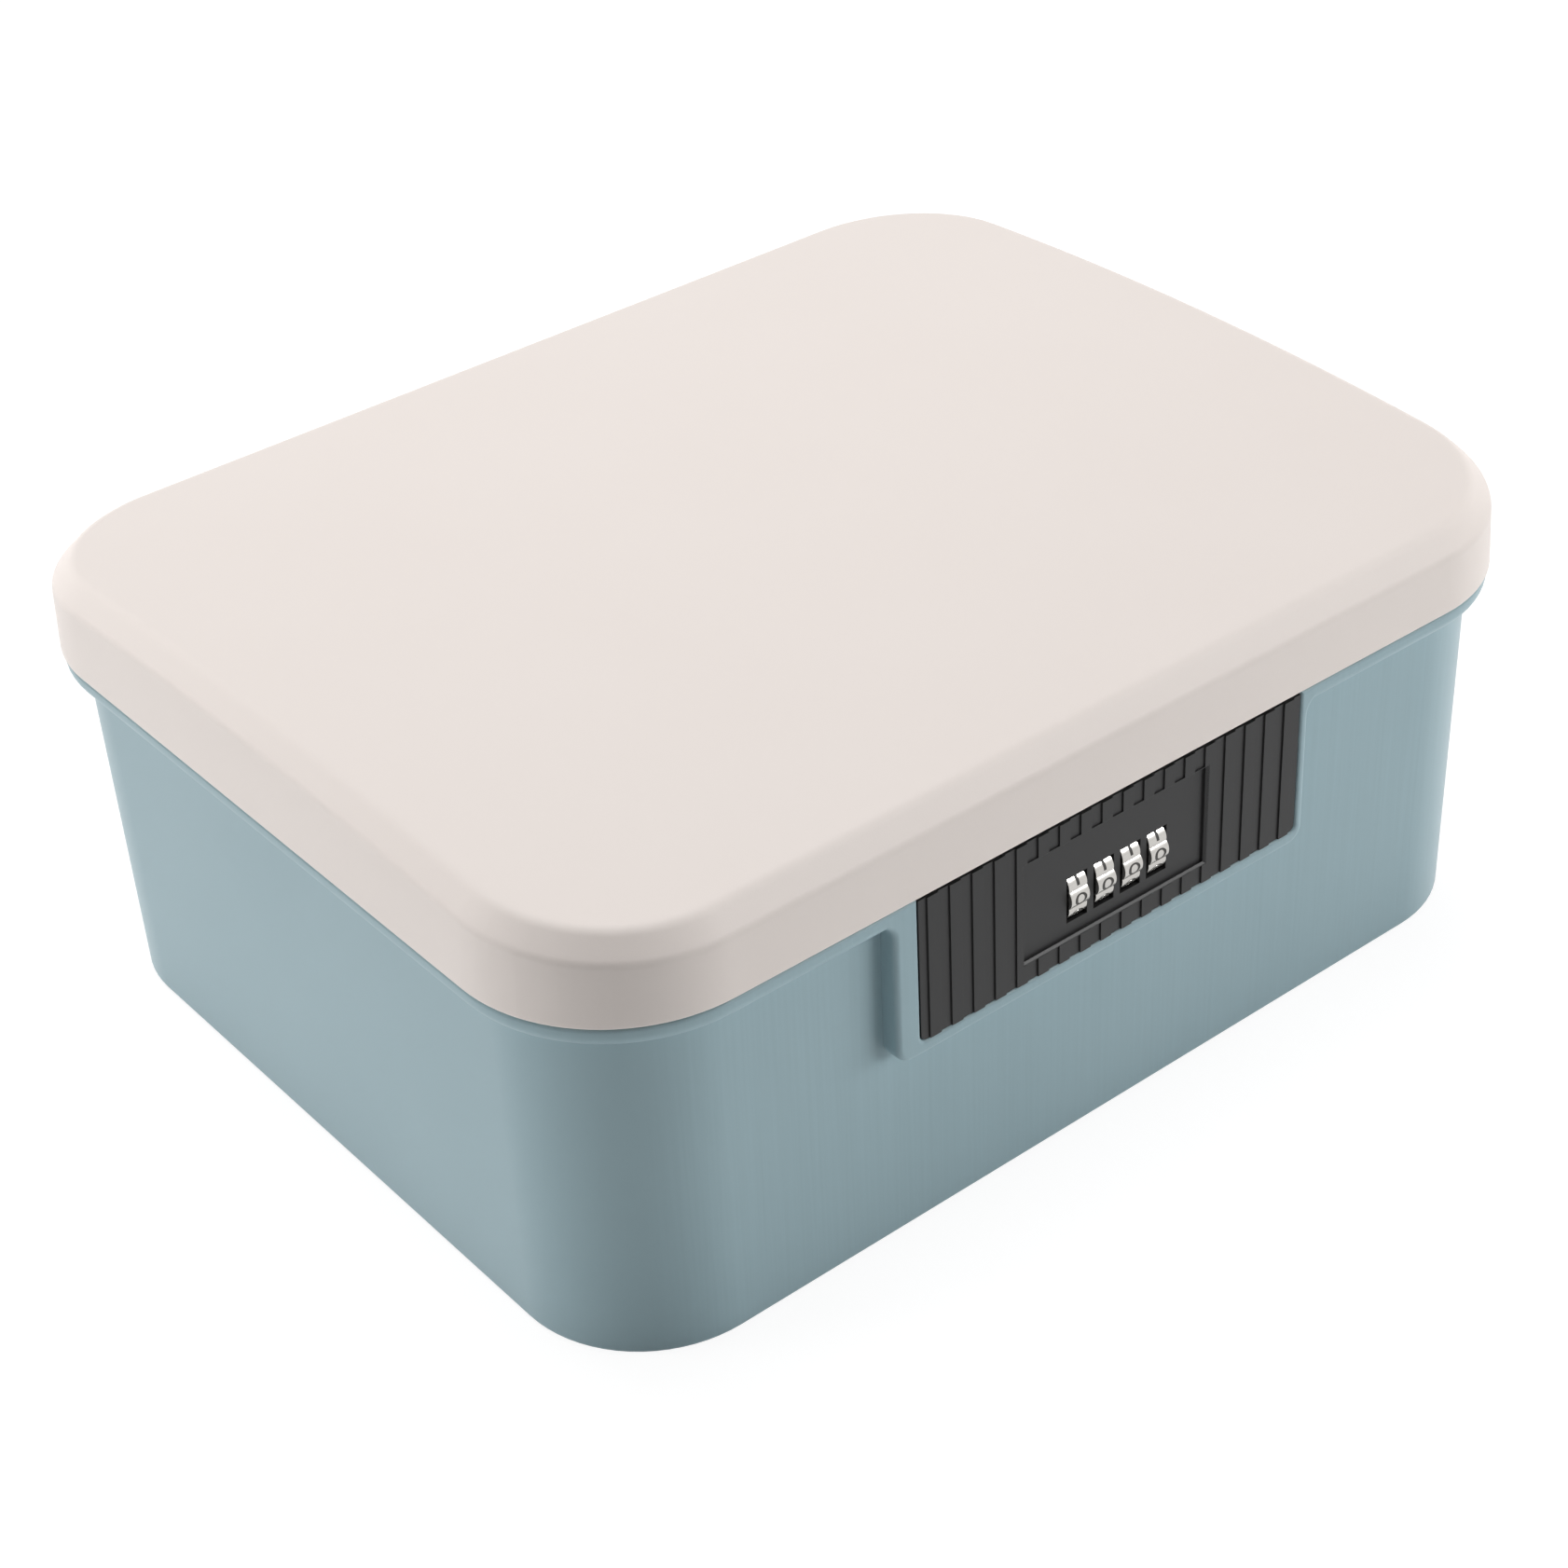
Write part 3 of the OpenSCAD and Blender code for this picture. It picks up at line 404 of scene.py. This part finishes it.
def smooth(piece, angle=32):
    """Shades curves smooth and keeps flats flat up to their rounded edges."""
    choose(piece)
    bpy.ops.object.shade_smooth_by_angle(angle=math.radians(angle))
    weigh = piece.modifiers.new("weigh", "WEIGHTED_NORMAL")
    weigh.keep_sharp = True
    weigh.weight = 80
    bpy.ops.object.modifier_apply(modifier=weigh.name)


def soften(piece, width, segments=2, angle=30):
    """Rounds every edge that is sharper than an angle."""
    step = piece.modifiers.new("soften", "BEVEL")
    step.width = width
    step.segments = segments
    step.limit_method = "ANGLE"
    step.angle_limit = math.radians(angle)
    step.miter_outer = "MITER_ARC"
    choose(piece)
    bpy.ops.object.modifier_apply(modifier=step.name)


# The lip is thinner than its rounding, so the arc stops short of a quarter turn.
lip_turn = math.acos(1 - lip / lip_round)
lip_foot_z = lip_z + lip_round * (1 - math.sin(lip_turn))
section = rounded([
    (floor_in_r, floor_z, 0),
    (wall_foot_r - wall, floor_z, 4 * MM),
    (wall_top_r - wall, rim_z, 0.5 * MM),
    (wall_top_r, rim_z, 0.7 * MM),
    (wall_top_r, flange_z, 0.3 * MM),
    (flange_r, flange_z, 0.9 * MM),
    (flange_r, lip_foot_z + lip / math.tan(lip_turn), lip_round),
    (flange_r - lip, lip_foot_z, 0),
    (flange_r - lip, flange_z - ledge, 0.7 * MM),
    (wall_top_r, flange_z - ledge, 0.9 * MM),
    (wall_foot_r, base_z, 1.2 * MM),
    (foot_in_r, base_z, 0)])
body = settle(round_the_plan("body", section))

# The boss runs up into the flange. Its level top edge is hidden behind the lip's rounding.
outline = rounded([
    (boss_left - boss_end, flange_z - ledge / 2, 0),
    (boss_left - boss_end, boss_top, 0),
    (boss_left, boss_top, boss_fillet),
    (boss_left, boss_z, boss_round),
    (boss_right, boss_z, boss_round),
    (boss_right, boss_top, boss_fillet),
    (boss_right + boss_end, boss_top, 0),
    (boss_right + boss_end, flange_z - ledge / 2, 0)], steps=8)
boss = settle(prism(
    "boss", [Vector((x, front_y, z)) for x, z in outline], (0, seat_back_y - front_y, 0)))
edit(boss)
pick_edges(boss, lambda p: abs(p.y - front_y) < NEAR and p.z < boss_top + NEAR)
bpy.ops.mesh.bevel(offset=boss_edge, segments=5, affect="EDGES")
settle(boss)
combine(body, boss, "UNION")

outline = rounded([
    (-recess_half, recess_top, 0),
    (-recess_half, recess_z, recess_round),
    (recess_half, recess_z, recess_round),
    (recess_half, recess_top, 0)])
ahead = front_y - 3 * MM
recess = prism("recess", [Vector((x, ahead, z)) for x, z in outline], (0, seat_y - ahead, 0))
combine(body, settle(recess))
# The recess's edge is rounded by a cutter that flares along a quarter circle.
reach = 2 * MM
middle_z = (recess_z + recess_top) / 2
half_z = middle_z - recess_z
mouth = draw_line("mouth", [Vector((x, front_y + recess_edge, z)) for x, z in outline])
bpy.ops.mesh.select_all(action="SELECT")
bpy.ops.mesh.edge_face_add()
arc = [
    (recess_edge * math.sin(math.radians(a)), recess_edge * (1 - math.cos(math.radians(a))))
    for a in range(0, 91, 15)]
arc.append((recess_edge + reach, recess_edge))
for (near, spread), (far, wider) in zip(arc, arc[1:]):
    pull((0, near - far, 0))
    grow_x = (recess_half + wider) / (recess_half + spread)
    grow_z = (half_z + wider) / (half_z + spread)
    bpy.ops.transform.resize(value=(grow_x, 1, grow_z), center_override=(0, 0, middle_z))
close_mesh()
combine(body, settle(mouth))
combine(body, block(
    "opening", (opening_left, seat_y - MM, opening_low),
    (opening_right, seat_back_y + MM, opening_high)))

turn_steps = 16
half_round = [
    (hinge_y + knuckle_r * math.sin(math.pi * k / turn_steps),
     hinge_z - knuckle_r * math.cos(math.pi * k / turn_steps))
    for k in range(turn_steps + 1)]
root_y = corner_y + wall_foot_r
for side in (-1, 1):
    for near in (lid_knuckle / 2 + knuckle_gap, -lid_knuckle / 2 - knuckle_gap - knuckle):
        x = side * hinge_x + near
        points = [(root_y, hinge_z - knuckle_r)] + half_round + [(root_y, hinge_z + knuckle_r)]
        ear = settle(prism("ear", [Vector((x, y, z)) for y, z in points], (knuckle, 0, 0)))
        soften(ear, hinge_edge)
        combine(body, ear, "UNION")
    combine(body, rod(
        "bore", (side * hinge_x - bore_half, hinge_y, hinge_z),
        (side * hinge_x + bore_half, hinge_y, hinge_z), bore_r))
for x, y in pad_places:
    combine(body, rod("pocket", (x, y, -MM), (x, y, base_z + pocket_depth), pocket_r))
tidy_faces(body)
smooth(body)

body_colour = (0.318, 0.44, 0.482, 1)


def blue_grey_plastic():
    """Matte blue-grey moulding. The front wall keeps fine upright flow streaks."""
    made, tree, shader = material("blue_grey_plastic")
    place = add_node(tree, "ShaderNodeTexCoord")
    stretch = add_node(tree, "ShaderNodeMapping")
    stretch.inputs["Scale"].default_value = (1, 1, 0.012)
    streak = add_node(tree, "ShaderNodeTexNoise", scale=900, detail=3, roughness=0.6)
    cloud = add_node(tree, "ShaderNodeTexNoise", scale=14, detail=2)
    grain = add_node(tree, "ShaderNodeTexNoise", scale=2600, detail=2)
    facing = add_node(tree, "ShaderNodeSeparateXYZ")
    front = add_node(tree, "ShaderNodeMapRange", from_min=-0.8, from_max=-0.97)
    strength = add_node(tree, "ShaderNodeMath", operation="MULTIPLY")
    strength.inputs[1].default_value = 0.06
    tint = add_node(tree, "ShaderNodeMixRGB", blend_type="OVERLAY")
    tint.inputs["Color1"].default_value = body_colour
    shade = add_node(tree, "ShaderNodeMixRGB", blend_type="SOFT_LIGHT")
    shade.inputs["Fac"].default_value = 0.1
    bump = add_node(tree, "ShaderNodeBump", strength=0.04, distance=0.00006)
    fine = add_node(tree, "ShaderNodeBump", strength=0.12, distance=0.00003)
    shader.inputs["Roughness"].default_value = 0.34
    shader.inputs["Specular IOR Level"].default_value = 0.25
    join_sockets(
        tree,
        place.outputs["Object"], stretch.inputs["Vector"],
        stretch.outputs[0], streak.inputs["Vector"],
        place.outputs["Object"], cloud.inputs["Vector"],
        place.outputs["Object"], grain.inputs["Vector"],
        place.outputs["Normal"], facing.inputs[0],
        facing.outputs["Y"], front.inputs["Value"],
        front.outputs[0], strength.inputs[0],
        strength.outputs[0], tint.inputs["Fac"],
        streak.outputs["Fac"], tint.inputs["Color2"],
        tint.outputs[0], shade.inputs["Color1"],
        cloud.outputs["Fac"], shade.inputs["Color2"],
        shade.outputs[0], shader.inputs["Base Color"],
        streak.outputs["Fac"], bump.inputs["Height"],
        grain.outputs["Fac"], fine.inputs["Height"],
        bump.outputs[0], fine.inputs["Normal"],
        fine.outputs[0], shader.inputs["Normal"])
    return made


def dress(piece, finish, body_name, slot, *nodes):
    """Gives a finished piece its material and its body, and hides the nodes it stands for. The
    slot is not used.
    """
    piece.data.materials.clear()
    piece.data.materials.append(finish)
    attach(piece, body_name)
    if nodes:
        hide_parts(*nodes)


dress(body, blue_grey_plastic(), "base", "blue_grey_plastic", "body_shell")

# Lid
# One cream moulding with a bevelled edge, a flared skirt and a top that is crowned from
# front to back. Two arms at the back end in knuckles, and two posts carry the catch.
lid_z = 99.05 * MM
skirt_z = 114.3 * MM
top_z = 119.4 * MM
lid_r = 40 * MM
skirt_flare = 0.85 * MM
bevel_in = 5.4 * MM
lid_wall = 2.5 * MM
lid_in_r = 27 * MM
crown = 6 * MM
lid_half_depth = 121 * MM
crown_rows = 30
crown_foot = lid_z + MM
crown_rise = skirt_z - lid_z - 4 * MM
arm_root_y = lid_half_depth - 0.6 * MM
arm_root_z = lid_z + 0.8 * MM
arm_top_z = lid_z + 11 * MM
post_r = 3.65 * MM
post_foot_z = 112 * MM
post_y = -98.6 * MM
post_x = (-17.7 * MM, 28.3 * MM)

section = rounded([
    (lid_in_r, top_z - lid_wall, 0),
    (lid_r - bevel_in - 1.2 * MM, top_z - lid_wall, 3 * MM),
    (lid_r - lid_wall, skirt_z - 1.6 * MM, 2 * MM),
    (lid_r + skirt_flare - lid_wall, lid_z, 0.6 * MM),
    (lid_r + skirt_flare, lid_z, 0.8 * MM),
    (lid_r, skirt_z, 3.2 * MM),
    (lid_r - bevel_in, top_z, 4 * MM),
    (lid_in_r, top_z, 0)], steps=6)


def slice_at(place, normal):
    """In edit mode, cuts every face along a plane and keeps both sides."""
    bpy.ops.mesh.select_all(action="SELECT")
    bpy.ops.mesh.bisect(plane_co=place, plane_no=normal)


lid = round_the_plan("lid", section, turns=24)
for row in range(1, crown_rows):
    slice_at((0, lid_half_depth * (2 * row / crown_rows - 1), 0), (0, 1, 0))
mesh = bmesh.from_edit_mesh(lid.data)
place = lid.matrix_world.translation
for v in mesh.verts:
    y = v.co.y + place.y
    rise = (v.co.z + place.z - crown_foot) / crown_rise
    v.co.z += crown * (1 - (y / lid_half_depth) ** 2) * min(max(rise, 0), 1)
bmesh.update_edit_mesh(lid.data)
settle(lid)

for side in (-1, 1):
    x = side * hinge_x - lid_knuckle / 2
    points = rounded([
        (arm_root_y, arm_root_z, 0),
        (arm_root_y, arm_top_z, 0),
        (lid_half_depth + 1.6 * MM, arm_top_z, MM),
        (hinge_y + knuckle_r, lid_z + 2 * MM, 3 * MM),
        (hinge_y + knuckle_r, hinge_z, 0)])
    points += [
        Vector((hinge_y + knuckle_r * math.cos(a), hinge_z - knuckle_r * math.sin(a)))
        for a in [math.pi * k / turn_steps for k in range(1, turn_steps + 1)]]
    points.append(Vector((hinge_y - knuckle_r, arm_root_z)))
    arm = settle(prism("arm", [Vector((x, y, z)) for y, z in points], (lid_knuckle, 0, 0)))
    soften(arm, hinge_edge)
    combine(lid, arm, "UNION")
    combine(lid, rod(
        "bore", (x - MM, hinge_y, hinge_z), (x + lid_knuckle + MM, hinge_y, hinge_z), bore_r))
for x in post_x:
    combine(lid, rod("post", (x, post_y, post_foot_z), (x, post_y, top_z), post_r), "UNION")
smooth(lid)


def matte_finish(name, colour, roughness, grain, depth, specular=0.5, metallic=0):
    """A matte surface, fine grained and slightly uneven in colour. Also for zinc and rubber."""
    made, tree, shader = material(name)
    place = add_node(tree, "ShaderNodeTexCoord")
    grains = add_node(tree, "ShaderNodeTexNoise", scale=1 / grain, detail=3, roughness=0.6)
    cloud = add_node(tree, "ShaderNodeTexNoise", scale=18, detail=3)
    shade = add_node(tree, "ShaderNodeMixRGB", blend_type="SOFT_LIGHT")
    shade.inputs["Fac"].default_value = 0.06
    shade.inputs["Color1"].default_value = colour
    shader.inputs["Specular IOR Level"].default_value = specular
    shader.inputs["Metallic"].default_value = metallic
    wear = add_node(
        tree, "ShaderNodeMapRange", to_min=roughness - 0.05, to_max=roughness + 0.05)
    bump = add_node(tree, "ShaderNodeBump", strength=0.35, distance=depth)
    join_sockets(
        tree,
        place.outputs["Object"], grains.inputs["Vector"],
        place.outputs["Object"], cloud.inputs["Vector"],
        cloud.outputs["Fac"], shade.inputs["Color2"],
        shade.outputs[0], shader.inputs["Base Color"],
        cloud.outputs["Fac"], wear.inputs["Value"],
        wear.outputs[0], shader.inputs["Roughness"],
        grains.outputs["Fac"], bump.inputs["Height"],
        bump.outputs[0], shader.inputs["Normal"])
    return made


cream = matte_finish(
    "cream_plastic", (0.822, 0.755, 0.715, 1), roughness=0.48, grain=0.45 * MM, depth=0.04 * MM,
    specular=0.22)
dress(lid, cream, "lid", "cream_plastic", "lid_shell")

# Lock panel
# A black moulding set in the boss, its upright ribs flush with the face around them. They
# stop at a fine bead round the smooth plate with the four windows. Screws hold it from behind.
panel_half = 59.5 * MM
panel_low, panel_high = 58.85 * MM, 97.9 * MM
panel_round = 1.6 * MM
panel_wall = 2 * MM
panel_edge = 0.12 * MM
crest_y = -121.3 * MM
groove_y = -120.88 * MM
plate_y = -120.1 * MM
skin_y = -118.4 * MM
rib_pitch = 6.53 * MM
rib_w = 3.26 * MM
rib_count = 18
plate_half = 28.45 * MM
plate_low, plate_high = 64.8 * MM, 91.7 * MM
bead_w = 0.7 * MM
bead_y = -121.25 * MM
bead_chamfer = 0.5 * MM
wheel_x = [-11.5 * MM, -3.1 * MM, 5.3 * MM, 13.7 * MM]
axis_y = -113.4 * MM
axis_z = 74.55 * MM
window_w = 6.38 * MM
window_h = 12.6 * MM
wheel_clear = 8.45 * MM

rib_middle = [(i - (rib_count - 1) / 2) * rib_pitch for i in range(rib_count)]
outline = rounded([
    (-panel_half, panel_high, 0),
    (-panel_half, panel_low, panel_round),
    (panel_half, panel_low, panel_round),
    (panel_half, panel_high, 0)])
panel = settle(prism(
    "panel", [Vector((x, groove_y, z)) for x, z in outline], (0, seat_y - groove_y, 0)))
edit(panel)
for middle in rib_middle:
    for x in (middle - rib_w / 2, middle + rib_w / 2):
        slice_at((x, 0, 0), (1, 0, 0))
for x in (plate_half, plate_half + bead_w):
    for s in (-1, 1):
        slice_at((s * x, 0, 0), (1, 0, 0))
for z in (plate_low - bead_w, plate_low, plate_high, plate_high + bead_w):
    slice_at((0, 0, z), (0, 0, 1))


def pick_front(piece, y, wanted):
    """Selects the faces that look forward at a depth and whose middle passes a test."""
    bpy.ops.mesh.select_all(action="DESELECT")
    bpy.ops.mesh.select_mode(type="FACE")
    mesh = bmesh.from_edit_mesh(piece.data)
    for face in mesh.faces:
        middle = face.calc_center_median()
        if abs(middle.y - y) < NEAR and face.normal.y < -0.9:
            face.select_set(wanted(middle))
    bmesh.update_edit_mesh(piece.data)


def in_plate(p, margin=0):
    """Whether a point lies over the smooth plate, or its bead."""
    beside = abs(p.x) < plate_half + margin
    return beside and plate_low - margin < p.z < plate_high + margin


def on_rib(p):
    """Whether a point lies on a rib, outside the bead."""
    return not in_plate(p, bead_w) and any(abs(p.x - x) < rib_w / 2 for x in rib_middle)


def on_bead(p):
    """Whether a point lies on the bead round the plate."""
    return in_plate(p, bead_w) and not in_plate(p)


for wanted, y in ((on_rib, crest_y), (on_bead, bead_y), (in_plate, plate_y)):
    pick_front(panel, groove_y, wanted)
    pull((0, y - groove_y, 0))
settle(panel)
combine(panel, block(
    "hollow", (-panel_half + panel_wall, skin_y, panel_low + panel_wall),
    (panel_half - panel_wall, seat_y + MM, panel_high - panel_wall)))
for x in wheel_x:
    combine(panel, block(
        "window", (x - window_w / 2, plate_y - MM, axis_z - window_h / 2),
        (x + window_w / 2, skin_y + MM, axis_z + window_h / 2)))
    # A round clearance behind the window lets the wheel's pads pass.
    combine(panel, rod(
        "swing", (x - window_w / 2, axis_y, axis_z), (x + window_w / 2, axis_y, axis_z),
        wheel_clear, sides=96))
tidy_faces(panel)
edit(panel)
pick_edges(panel, lambda p: abs(p.y - bead_y) < NEAR and in_plate(p, NEAR))
bpy.ops.mesh.bevel(offset=bead_chamfer, segments=1, affect="EDGES")
settle(panel)
soften(panel, panel_edge)
smooth(panel)
black = matte_finish(
    "black_plastic", (0.02, 0.02, 0.0205, 1), roughness=0.42, grain=0.5 * MM, depth=0.02 * MM,
    specular=0.34)
dress(panel, black, "base", "black_plastic", "lock_panel")

# Number wheels
# Four wheels in satin nickel, each with ten rounded pads. The numbers are cut into the
# pads and filled black, and they run from 0 at the front upwards to 9.
wheel_r = 8.2 * MM
wheel_bore_r = 2.46 * MM
wheel_edge = 0.22 * MM
pad_round = 3.3 * MM
wheel_w = 5.6 * MM
pads = 10
pad_parts = 16
number_h = 3 * MM
number_spread = 1.95
cut_depth = 0.5 * MM
ink_drop = 0.1 * MM
step_angle = 2 * math.pi / pads


def lobed_wheel(name, outer):
    """A disc on the X axis whose rim is scalloped into ten rounded pads."""
    bpy.ops.object.select_all(action="DESELECT")
    bpy.ops.mesh.primitive_cylinder_add(
        vertices=pads * pad_parts, radius=outer, depth=wheel_w, rotation=(0, math.pi / 2, 0))
    piece = bpy.context.object
    piece.name = name
    settle(piece)
    edit(piece)
    mesh = bmesh.from_edit_mesh(piece.data)
    centre = wheel_r - pad_round
    for v in mesh.verts:
        angle = math.atan2(v.co.z, -v.co.y)
        off = (angle + step_angle / 2) % step_angle - step_angle / 2
        far = math.sqrt((outer - centre) ** 2 - (centre * math.sin(off)) ** 2)
        reach = centre * math.cos(off) + far
        v.co.y, v.co.z = -reach * math.cos(angle), reach * math.sin(angle)
    bmesh.update_edit_mesh(piece.data)
    return settle(piece)


wheel = lobed_wheel("wheel", wheel_r)
combine(wheel, rod("bore", (-wheel_w, 0, 0), (wheel_w, 0, 0), wheel_bore_r))
soften(wheel, wheel_edge, segments=4, angle=50)

numbers = []
for k in range(pads):
    angle = k * step_angle
    normal = Vector((0, -math.cos(angle), math.sin(angle)))
    tangent = Vector((0, math.sin(angle), math.cos(angle)))
    bpy.ops.object.select_all(action="DESELECT")
    bpy.ops.object.text_add()
    number = bpy.context.object
    number.data.body = str(k)
    number.data.extrude = 1
    number.data.resolution_u = 6
    bpy.ops.object.convert(target="MESH")
    number = bpy.context.object
    xs = [v.co.x for v in number.data.vertices]
    ys = [v.co.y for v in number.data.vertices]
    middle = Vector(((max(xs) + min(xs)) / 2, (max(ys) + min(ys)) / 2, 0))
    number.data.transform(Matrix.Translation(-middle))
    # The font's figures are made of equal height and drawn out in width.
    tall = number_h / (max(ys) - min(ys))
    number.data.transform(Matrix.Diagonal((tall * number_spread, tall, cut_depth, 1)))
    stand = Matrix((Vector((1, 0, 0)), tangent, normal)).transposed().to_4x4()
    number.data.transform(Matrix.Translation(normal * wheel_r) @ stand)
    number.name = f"number_{k}"
    numbers.append(number)
bpy.ops.object.select_all(action="DESELECT")
for number in numbers:
    number.select_set(True)
bpy.context.view_layer.objects.active = numbers[0]
bpy.ops.object.join()
figures = bpy.context.object
figures.name = "figures"
edit(figures)
close_mesh()
settle(figures)
cutter = figures.copy()
cutter.data = figures.data.copy()
bpy.context.collection.objects.link(cutter)
combine(wheel, cutter)
smooth(wheel, 25)
combine(figures, lobed_wheel("filling", wheel_r - ink_drop), "INTERSECT")


def satin_nickel():
    """Plated metal with a fine lathe-turned satin finish."""
    made, tree, shader = material("satin_nickel")
    place = add_node(tree, "ShaderNodeTexCoord")
    stretch = add_node(tree, "ShaderNodeMapping")
    stretch.inputs["Scale"].default_value = (1, 0.1, 0.1)
    line = add_node(tree, "ShaderNodeTexNoise", scale=9000, detail=2)
    bump = add_node(tree, "ShaderNodeBump", strength=0.01, distance=0.00001)
    wear = add_node(tree, "ShaderNodeMapRange", to_min=0.24, to_max=0.28)
    shader.inputs["Base Color"].default_value = (0.56, 0.545, 0.52, 1)
    shader.inputs["Metallic"].default_value = 1
    join_sockets(
        tree,
        place.outputs["Object"], stretch.inputs["Vector"],
        stretch.outputs[0], line.inputs["Vector"],
        line.outputs["Fac"], bump.inputs["Height"],
        line.outputs["Fac"], wear.inputs["Value"],
        wear.outputs[0], shader.inputs["Roughness"],
        bump.outputs[0], shader.inputs["Normal"])
    return made


nickel = satin_nickel()
ink = matte_finish(
    "black_filler", (0.04, 0.038, 0.035, 1), roughness=0.5, grain=0.2 * MM, depth=0.005 * MM)
for i, x in enumerate(wheel_x, 1):
    place = Matrix.Translation((x, axis_y, axis_z))
    turned = wheel.copy()
    turned.data = wheel.data.copy()
    turned.name = f"wheel_{i}"
    turned.data.transform(place)
    bpy.context.collection.objects.link(turned)
    dress(turned, nickel, f"wheel_{i}", "satin_nickel", f"number_wheel_{i}")
    filled = figures.copy()
    filled.data = figures.data.copy()
    filled.name = f"wheel_numbers_{i}"
    filled.data.transform(place)
    bpy.context.collection.objects.link(filled)
    dress(filled, ink, f"wheel_{i}", "black_plastic")
bpy.data.objects.remove(wheel)
bpy.data.objects.remove(figures)

# Lock inside
# The lock's inner pieces, the comb under the lid, all screws, the hinge pins and the base
# pads keep their CAD shape. They are black plastic, zinc plated steel or dark rubber.
plain = matte_finish(
    "zinc_plate", (0.39, 0.41, 0.42, 1), roughness=0.35, grain=0.6 * MM, depth=0.01 * MM,
    metallic=1)
rubber = matte_finish(
    "rubber", (0.06, 0.06, 0.06, 1), roughness=0.75, grain=0.6 * MM, depth=0.05 * MM)
finishes = {
    "black_plastic": black,
    "dark_plastic": black,
    "plain_steel": plain,
    "dark_rubber": rubber}
for row in frame["record"]["subparts"]:
    node = frame["nodes"][row["node"]]
    if not node.hide_render:
        node.data.materials.clear()
        node.data.materials.append(finishes[row["material_slot"]])
